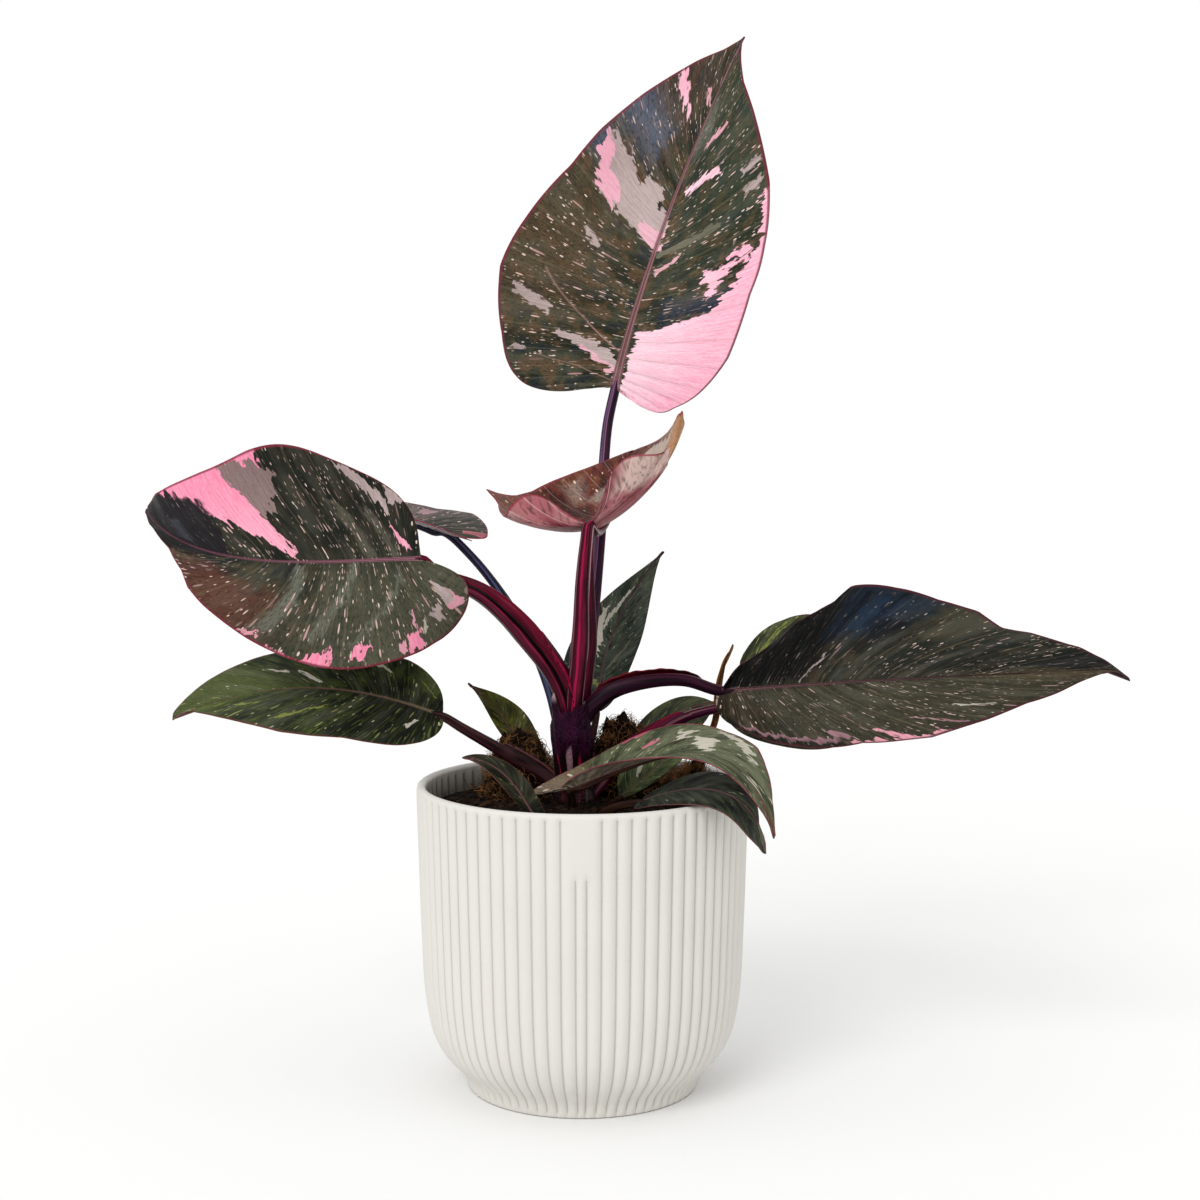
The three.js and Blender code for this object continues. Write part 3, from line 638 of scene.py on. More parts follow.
class Midrib:
    """A smooth curve with four handles, walked by its length."""

    def __init__(self, handles):
        a, b, c, d = (np.array(handle, float) for handle in handles)
        s = np.linspace(0, 1, 400)[:, None]
        self.walk = a * (1 - s) ** 3 + 3 * b * s * (1 - s) ** 2 + 3 * c * s**2 * (1 - s) + d * s**3
        self.ahead = unit(np.gradient(self.walk, axis=0))
        self.reach = walked(self.walk)
        self.length = self.reach[-1]

    def at(self, q):
        """Places and directions at shares q of the length."""
        wanted = q * self.length
        return look_up(wanted, self.reach, self.walk), unit(look_up(wanted, self.reach, self.ahead))


def facing(leaf, q, ahead):
    up = (1 - q)[:, None] * np.array(leaf["faces"][0]) + q[:, None] * np.array(leaf["faces"][1])
    return unit(up - ahead * (up * ahead).sum(1, keepdims=True))


lengths = {name: round(Midrib(leaf["midrib"]).length) for name, leaf in LEAVES.items()}
print("midribs in mm:", lengths)

# %% [markdown]
# ## The blade formula
# The formula first finds how far out and how far along the blade a point lies, then folds and curls
# that flat place into space round the midrib. It could be done by bending a flat mesh step by step,
# but one formula for both the CAD part and these blades keeps them exactly together.

# %% Blade formula
LOBE_AT, VEIN_LEAN, VEIN_BEND = 0.14, 2.2, 1.25
CUP_SPAN, WAVE_LAG, WAVE_EASE = 50, 0.3, 9
HOOK_FROM = 0.93  # a hook bends the last part of the blade, from this share of the midrib


def outline_at(leaf, right, share, t, length):
    """The mm across and along the blade, the margin's distance and the lobe of each point's half."""
    halves = zip(leaf["right"], leaf["left"])
    wide, lobe, belly, point, blunt = (np.where(right, a, b) for a, b in halves)
    swell = np.sin(np.pi * np.clip(t, 0, 1))
    edge = np.maximum(wide * swell ** np.where(t < 0.5, blunt, point), np.where(t > 0.9, 0.3, 0))
    trims = [leaf.get("trim", {}).get(side, []) for side in (1, -1)]
    trims = [np.interp(t, *zip((0, 0), *trim, (1, 0))) for trim in trims]
    reach = length * ((1 - np.cos(np.pi * t)) / 2) ** belly
    reach -= lobe * t / LOBE_AT * np.exp(1 - t / LOBE_AT)
    root = length * t**VEIN_LEAN
    across = edge * share + np.where(right, *trims) * share**3
    return across, root + (reach - root) * share**VEIN_BEND, edge, lobe


def blade_at(leaf, signed, t, lift):
    """Places in mm at a signed share of the way out (right half +) along the veins at t, lifted
    square to the blade, and the mm across and along the blade."""
    rib = Midrib(leaf["midrib"])
    right, share = signed >= 0, np.abs(signed)
    across, along, edge, lobe = outline_at(leaf, right, share, t, rib.length)
    q = np.clip(along / rib.length, 0, 1)
    middle, ahead = rib.at(q)
    up = facing(leaf, q, ahead)
    aside = np.cross(ahead, up) * np.where(right, 1, -1)[:, None]
    foot_fold, tip_fold = (np.where(right, *pair) for pair in zip(*leaf["folds"]))
    fold = np.radians(foot_fold * (1 - q) + tip_fold * q)
    cup = np.where(right, *leaf["cup"])
    bend = np.radians(np.where(cup == 0, 0.01, cup)) / CUP_SPAN
    tilt = fold + bend * across
    out = (np.sin(tilt) - np.sin(fold)) / bend
    height = (np.cos(fold) - np.cos(tilt)) / bend
    height += leaf.get("rise", 0) * (np.minimum(along, 0) / np.maximum(lobe, 1)) ** 2
    wave, count, shift = leaf.get("wave", (0, 0, 0))
    ripple = np.sin(2 * np.pi * (count * t + shift + np.where(right, 0, WAVE_LAG)))
    height += wave * np.clip(edge / WAVE_EASE, 0, 1) * share**2 * ripple
    hooked = np.clip((q - HOOK_FROM) / (1 - HOOK_FROM), 0, 1)[:, None] ** 2
    square = up * np.cos(tilt)[:, None] - aside * np.sin(tilt)[:, None]
    place = middle + ahead * (along - q * rib.length)[:, None] + aside * out[:, None]
    place = place + up * height[:, None] + square * lift[:, None]
    return place + hooked * np.array(leaf.get("hook", (0, 0, 0))), across, along


half_way = blade_at(LEAVES["top_leaf"], np.array([-1.0, 1.0]), np.full(2, 0.5), np.zeros(2))[1]
print("top leaf, half widths at the middle vein in mm:", half_way.round(1))

# %% [markdown]
# ## Giving the blades relief
# A living blade isn't flat between its veins: the midrib is a groove above and a ridge below, the
# side veins are slightly sunk, and the whole sheet swells a little between them. The grid is made
# fine enough for that, and it also records, for the finish, where each point is along its vein.

# %% Blade relief
VEINS = 15  # side veins in each half
LIFT = 0.35  # mm; about half the wall, which is built downwards
VEIN_SINK, SWELL, RIB_SINK = 0.5, 0.45, 0.45  # mm
FULL_RELIEF_LENGTH = 110  # a shorter blade has less relief
LEFT_HALF_SHIFT = 40.0  # moves the left half's noise away, so that the halves don't mirror


def crowd_to_tip(v):
    """Moves rows of points towards the tip, where the margin turns fastest."""
    ease = np.clip((v - 0.5) / 0.5, 0, 1)
    ease = ease * ease * (3 - 2 * ease)
    return v + 0.6 * ease * (np.arccos(1 - 2 * v) / np.pi - v)


def blade_lift(leaf, signed, t):
    """The relief in mm at each point."""
    seed = sum(leaf["midrib"][0]) % 7
    relief = min(1, Midrib(leaf["midrib"]).length / FULL_RELIEF_LENGTH)
    share = np.abs(signed)
    edge = np.where(signed >= 0, leaf["right"][0], leaf["left"][0]) * np.sin(np.pi * t)
    groove = np.exp(-((edge * share / (0.5 + 1.1 * (1 - t) * relief)) ** 2))
    sunk = np.abs(np.sin(np.pi * VEINS * t + 0.4 * np.sign(signed)))
    open_ground = np.clip(share * 6, 0, 1) * np.clip((1 - share) * 5, 0.25, 1)
    swell = np.sin(5.3 * signed + 9 * t + seed) * np.sin(13 * t - 3 * signed + 2 * seed)
    lift = open_ground * (VEIN_SINK * sunk**0.6 - 0.35) + SWELL * share * swell
    return LIFT + relief * lift - RIB_SINK * relief * groove


def blade_mesh(leaf, columns, rows):
    def bend(u, v):
        signed = np.sign(u - 0.5) * np.abs(2 * u - 1) ** 1.25
        t = crowd_to_tip(v)
        flat = np.zeros_like(t)
        places, across, along = blade_at(leaf, signed, t, blade_lift(leaf, signed, t))
        _, _, along_half = blade_at(leaf, np.where(signed >= 0, 0.5, -0.5), t, flat)
        _, _, root = blade_at(leaf, flat, t, flat)
        side = np.where(signed >= 0, 0.0, LEFT_HALF_SHIFT)
        return places, {
            "blade": np.stack([signed, t, across], axis=1),
            "vein": np.stack([np.hypot(across, along - root), along_half, side], axis=1),
        }

    return bent_grid(columns, rows, bend)


print("relief ready for", 2 * VEINS, "side veins a blade")

# %% [markdown]
# ## A blade's wall
# A Solidify modifier gives the sheet its thickness. Point weights thin it towards the margin and the
# tip, and the modifier puts the underside and the cut margin on finishes of their own.

# %% Blade pieces
BLADE_WALL = 0.75  # mm beside the midrib


def weigh_margin(mesh):
    """Weights for the wall: full at the midrib, less at the margin, least at the tip."""
    weights = mesh.verts.layers.deform.verify()
    blade = mesh.verts.layers.float_vector["blade"]
    for vert in mesh.verts:
        signed, t, _ = vert[blade]
        vert[weights][0] = (1 - 0.55 * abs(signed) ** 3) * min(1, 0.3 + 18 * (1 - t))


def add_blade(name, leaf, finishes):
    length = Midrib(leaf["midrib"]).length
    columns = int(np.clip(length * 0.6, 36, 88)) // 2 * 2
    rows = int(np.clip(length * 1.1, 60, 150))
    mesh = blade_mesh(leaf, columns, rows)
    weigh_margin(mesh)
    piece = add_piece(name + "_blade", mesh, finishes, name)
    piece.vertex_groups.new(name="thickness")
    wall = thicken(piece, BLADE_WALL, -1)
    wall.vertex_group = "thickness"
    wall.use_even_offset = False
    wall.material_offset = 1
    wall.material_offset_rim = 2


print("blades get a wall of", BLADE_WALL, "mm")

# %% [markdown]
# ## Painting variegation along the veins
# On this plant the pink is whole sectors of leaf that lack green, so its patches run along the side
# veins: straight sides, and ends that break up into fingers. An image could hold that, but a
# procedural patch stays sharp at any size. Each patch is a range of shares of the way out and a
# range of veins, whose lower and upper limit may change from its near to its far end.

# %% The patch node group
PATCH_INPUTS = ["Share", "T", "Side", "Near", "Far", "Low near", "Low far", "High near", "High far", "Soft"]


def make_patch_group():
    group = bpy.data.node_groups.new("patch between veins", "ShaderNodeTree")
    for name in PATCH_INPUTS:
        group.interface.new_socket(name, in_out="INPUT", socket_type="NodeSocketFloat")
    group.interface.new_socket("Mask", in_out="OUTPUT", socket_type="NodeSocketFloat")
    w = Wiring(group)
    given = group.nodes.new("NodeGroupInput").outputs
    near, far, soft = given["Near"], given["Far"], given["Soft"]
    share = w.times(given["Share"], given["Side"])
    low, high = (w.step(share, near, far, given[edge + " near"], given[edge + " far"], "LINEAR")
        for edge in ("Low", "High"))
    inside = w.maths("MINIMUM", w.minus(share, near), w.minus(far, share))
    between = w.maths("MINIMUM", w.minus(given["T"], low), w.minus(high, given["T"]))
    depth = w.maths("MINIMUM", w.times(inside, 0.35), between)
    mask = w.step(depth, w.times(soft, -1.0), soft)
    w.feed(group.nodes.new("NodeGroupOutput").inputs["Mask"], mask)
    return group


patch_group = make_patch_group()
print("patch group with", len(patch_group.nodes), "nodes")

# %% [markdown]
# ## The layers of a leaf's colour
# A leaf is painted like a model: ground colour, mottling, tints, streaks along the veins, flecks,
# then the sectors without green, and last the veins, the midrib and the margin. All the noises that
# these layers use are stretched along the side veins, because the cells of the leaf grow in lines
# there. A class holds them once, together with the mask of a patch.

# %% Leaf noises
# a sector's deep and faint tone; sectors are painted in this order, so ash lies over pink
TONES = {
    "blush": ("#c98795", "#dfb0b8"),
    "cream": ("#a8968a", "#cdbcab"),
    "lime": ("#6d7636", "#8a8f4c"),
    "mauve": ("#86626a", "#ab868c"),
    "olive": ("#4f4d3d", "#757060"),
    "pale": ("#988684", "#c4b1ae"),
    "pink": ("#ea94ae", "#f6ccd8"),
    "rose": ("#9a4a58", "#c07a84"),
    "tinge": ("#d996aa", "#e8b8c4"),
    # white also paints two small glints, on the left and the front leaf, as painted highlights
    "white": ("#a19c8e", "#c6c0b2"),
    "ash": ("#76605f", "#93807c"),
}
PATCH_SOFT, CALM_BELOW = 0.0016, 0.005  # in shares of the blade; a sharp veil keeps calm edges
UNDERSIDE_SHADE = 0.62
VEIN_TONE, RIB_WIDTH, RIB_END = "#7d7560", 1.3, 0.35  # the widths in mm, at the base and the tip


class LeafFinish(Finish):
    """The noises and measures that the layers of one face of one leaf share."""

    def __init__(self, name, look, under):
        super().__init__(name + (" underside" if under else " upper face"), 0.4, look.get("gloss", 0.13))
        self.look, self.under = look, under
        self.signed, self.t, self.from_rib = self.split(self.attribute("blade"))[:3]
        self.vein = self.attribute("vein")
        self.share = self.size(self.signed)
        self.turn = self.size(self.maths("SINE", self.times(self.t, math.pi * VEINS)))
        self.fine = self.long_noise(self.vein, (0.10, 1.15, 1), 2)
        self.broad = self.long_noise(self.vein, (0.03, 0.11, 1), 3)
        self.grain = self.long_noise(self.vein, (0.5, 1.7, 1), 3)
        jag = look.get("jag", 1)
        fingers = self.long_noise(self.vein, (0.13, 0.40, 1), 4)
        crumbs = self.long_noise(self.vein, (0.22, 0.5, 1), 3)
        self.ragged = self.plus(self.signed, self.sway(fingers, 0.25, 0.75, 0.085 * jag))
        self.wavering = self.plus(self.t, self.sway(crumbs, 0.2, 0.8, 0.011 * jag))

    def patch(self, side, near, far, low_near, low_far, high_near, high_far, soft=PATCH_SOFT, calm=False):
        """The mask of one patch, on the right (1) or left (-1) half."""
        node = self.node("Group", {}, node_tree=patch_group)
        place = (self.signed, self.t) if calm else (self.ragged, self.wavering)
        values = *place, float(side), near, far, low_near, low_far, high_near, high_far, soft
        for socket, value in zip(node.inputs, values):
            self.feed(socket, value)
        return node.outputs[0]


print(len(TONES), "tones for sectors")

# %% [markdown]
# ## Ground, streaks and flecks
# The ground is two greens mixed by a broad noise. Earth brown and night blue mottle it, tints colour
# whole regions, and fine streaks and flecks follow the veins. Some tints are painted sheen, painted
# highlight or painted shade, as their rows say. The flecks are cells of a stretched Voronoi pattern,
# of which only some are filled, each to its own size and strength.

# %% Ground layers


def ground(f):
    dark, light = f.look["under" if f.under else "green"]
    return f.blend(f.step(f.broad, 0.36, 0.64), tone(dark), tone(light))


def mottled(f, colour):
    mottle = f.long_noise(f.vein, (0.11, 0.15, 1), 4)
    earth, night = f.look.get("mottle", ("#3d3226", "#141a1e"))
    colour = f.coat(colour, f.step(mottle, 0.50, 0.60, 0, 0.8), earth)
    return f.coat(colour, f.step(mottle, 0.46, 0.36, 0, 0.8), night)


def tinted(f, colour, rows):
    for code, amount, *limits in rows:
        colour = f.coat(colour, f.times(f.patch(*limits), amount), code)
    return colour


def streaked(f, colour):
    streak = tone(f.look.get("streak", "#6a6a50"))
    if "streak_left" in f.look:
        left = tone(f.look["streak_left"])
        streak = f.blend(f.step(f.signed, -0.01, 0.01), left, streak)
    return f.blend(f.step(f.fine, 0.54, 0.72, 0, f.look.get("streaks", 0.25)), colour, streak)


def shaded(f, colour):
    """Dark grain between the veins, and a painted sheen on the swellings between them."""
    colour = f.coat(colour, f.step(f.grain, 0.52, 0.34, 0, 0.55), "#0a0a08")
    # painted sheen: lighter on the swellings, where the relief would catch the light
    sheen = f.times(f.step(f.turn, 0.1, 0.9), f.step(f.broad, 0.42, 0.62))
    return f.coat(colour, f.times(sheen, f.look.get("sheen", 0.12)), "#8d8a7c")


def flecked(f, colour):
    for length, width, amount, code in f.look.get("flecks", []):
        cells = f.stretch(f.vein, (1 / length, 1 / width, 1))
        spots = f.node("TexVoronoi", {"Vector": cells, "Scale": 1.0, "Randomness": 1.0})
        pick = f.split(spots.outputs["Color"])
        size = f.step(pick[1], 0, 1, 0.10, 0.42, "LINEAR")
        near = f.step(f.minus(size, spots.outputs["Distance"]), -0.05, 0.06)
        mask = f.times(near, f.step(pick[0], 1 - amount - 0.02, 1 - amount + 0.02))
        colour = f.coat(colour, f.times(mask, f.step(pick[2], 0, 1, 0.25, 0.95)), code)
    return colour


print("ground layers: green, mottle, tints, streaks, grain and flecks")

# %% [markdown]
# ## Sectors without green
# A sector of one tone is the largest of its patches' masks. Its own colour runs from a deep to a
# faint tone along the fine lines, so that it looks grown and not printed.

# %% Sectors


def sectors(f, colour):
    """The pink, pale and cream sectors, paler where their fine lines and grain are worn."""
    rows = f.look.get("patches", [])
    fade = f.plus(f.times(f.step(f.fine, 0.3, 0.7), 0.35), f.step(f.share, 0.95, 0.15, 0, 0.5))
    fade = f.plus(fade, f.step(f.grain, 0.35, 0.65, -0.12, 0.12))
    for key, codes in (TONES | f.look.get("tones", {})).items():
        masks = [f.patch(*limits) for kind, *limits in rows if kind == key]
        if not masks:
            continue
        deep, faint = (tone(code) for code in codes)
        if f.under:
            deep, faint = ((*[UNDERSIDE_SHADE * c for c in shade[:3]], 1) for shade in (deep, faint))
        mask = masks[0]
        for other in masks[1:]:
            mask = f.maths("MAXIMUM", mask, other)
        colour = f.blend(mask, colour, f.blend(fade, deep, faint))
    return colour


print("sectors are painted from", list(TONES)[0], "to", list(TONES)[-1])

# %% [markdown]
# ## Veins, midrib and margin
# Side veins are thin lighter lines. The midrib is a band that narrows towards the tip, with a darker
# keel, and the margin is a fine coloured line. Veils are thin washes over all but the midrib. Some are
# the leaf's own darkest or palest lines; others are painted sheen where the blade turns its gloss to
# the light, and painted shade where it turns away.

# %% Veins, midrib and margin


def side_veins(f, colour):
    lateral = f.step(f.turn, 0.16, 0.02, 0, 0.5 if f.under else 0.18)
    return f.coat(colour, lateral, f.look.get("vein", VEIN_TONE))


def veiled(f, colour):
    """Thin washes over the veins, broken up by the fine streaks."""
    thin = f.step(f.fine, 0.50, 0.66, 1, 0.62)
    for code, amount, *limits in f.look.get("veils", []):
        mask = f.times(f.patch(*limits, calm=limits[-1] < CALM_BELOW), thin)
        colour = f.coat(colour, f.times(mask, amount), code)
    return colour


def ribbed(f, colour):
    first, last = f.look.get("rib_width", RIB_WIDTH), f.look.get("rib_end", RIB_END)
    width = f.step(f.t, 0.0, 0.9, first, last, "LINEAR")
    rib = f.step(f.minus(width, f.from_rib), -0.12, 0.3)
    off_ridge = f.size(f.minus(f.times(width, 0.45), f.from_rib))
    sides = tone(f.look.get("rib", "#a5647a"))
    keel = f.coat(sides, f.step(off_ridge, 0.28, 0.05), f.look.get("rib_line", "#6a3c48"))
    return f.blend(f.times(rib, 0.9), colour, keel)


def netted(f, colour):
    """The fine raised net of the underside."""
    return f.coat(colour, f.step(f.fine, 0.5, 0.75, 0, 0.3), f.look.get("vein", VEIN_TONE))


def finished(f, colour):
    colour = f.coat(colour, f.step(f.share, 0.972, 0.99, 0, 0.85), f.look["margin"])
    relief = f.plus(f.fine, f.times(f.grain, 0.9))
    return f.wear(colour, relief, 0.2, f.step(f.broad, 0.3, 0.7, 0.34, 0.5))


print("the midrib's band is", RIB_WIDTH, "mm wide unless a leaf says otherwise")

# %% [markdown]
# ## The order of the layers
# Both faces get the ground, the grain, the sectors, the veins and the margin. Only the upper face is
# mottled, streaked and flecked. The cut margin is a third, very narrow finish.

# %% Leaf finishes


def leaf_finish(name, look, under=False):
    """The finish of one face of one leaf, from its row in LOOKS."""
    f = LeafFinish(name, look, under)
    if under:
        colour = tinted(f, ground(f), look.get("under_tints", []))
        layers = [shaded, sectors, side_veins, ribbed, netted]
    else:
        colour = tinted(f, mottled(f, ground(f)), look.get("tints", []))
        layers = [streaked, shaded, flecked, sectors, side_veins, veiled, ribbed]
    for layer in layers:
        colour = layer(f, colour)
    return finished(f, colour)


def margin_finish(name, code):
    f = Finish(name + " margin", 0.45, 0.3)
    spots = f.noise(f.place(), 700, 2)
    deep = (*[0.45 * c for c in tone(code)[:3]], 1)
    return f.wear(f.blend(spots, deep, tone(code)), spots, 0.05)


print("three finishes for each blade")

# %% [markdown]
# ## What the upper leaves look like
# Each leaf has its own row: the dark and light green of both faces, the colours of its streaks,
# veins, midrib and margin, and its flecks as length, width, how many and colour. Then come lists of
# patches. Tints lie under the flecks and veils lie over everything. Both give a colour and an amount
# first; sectors give a tone. After that every patch says its half (1 is right), its near and far
# share of the way out, its lowest vein near and far, its highest vein near and far, and for tints
# and veils how soft its edge is.

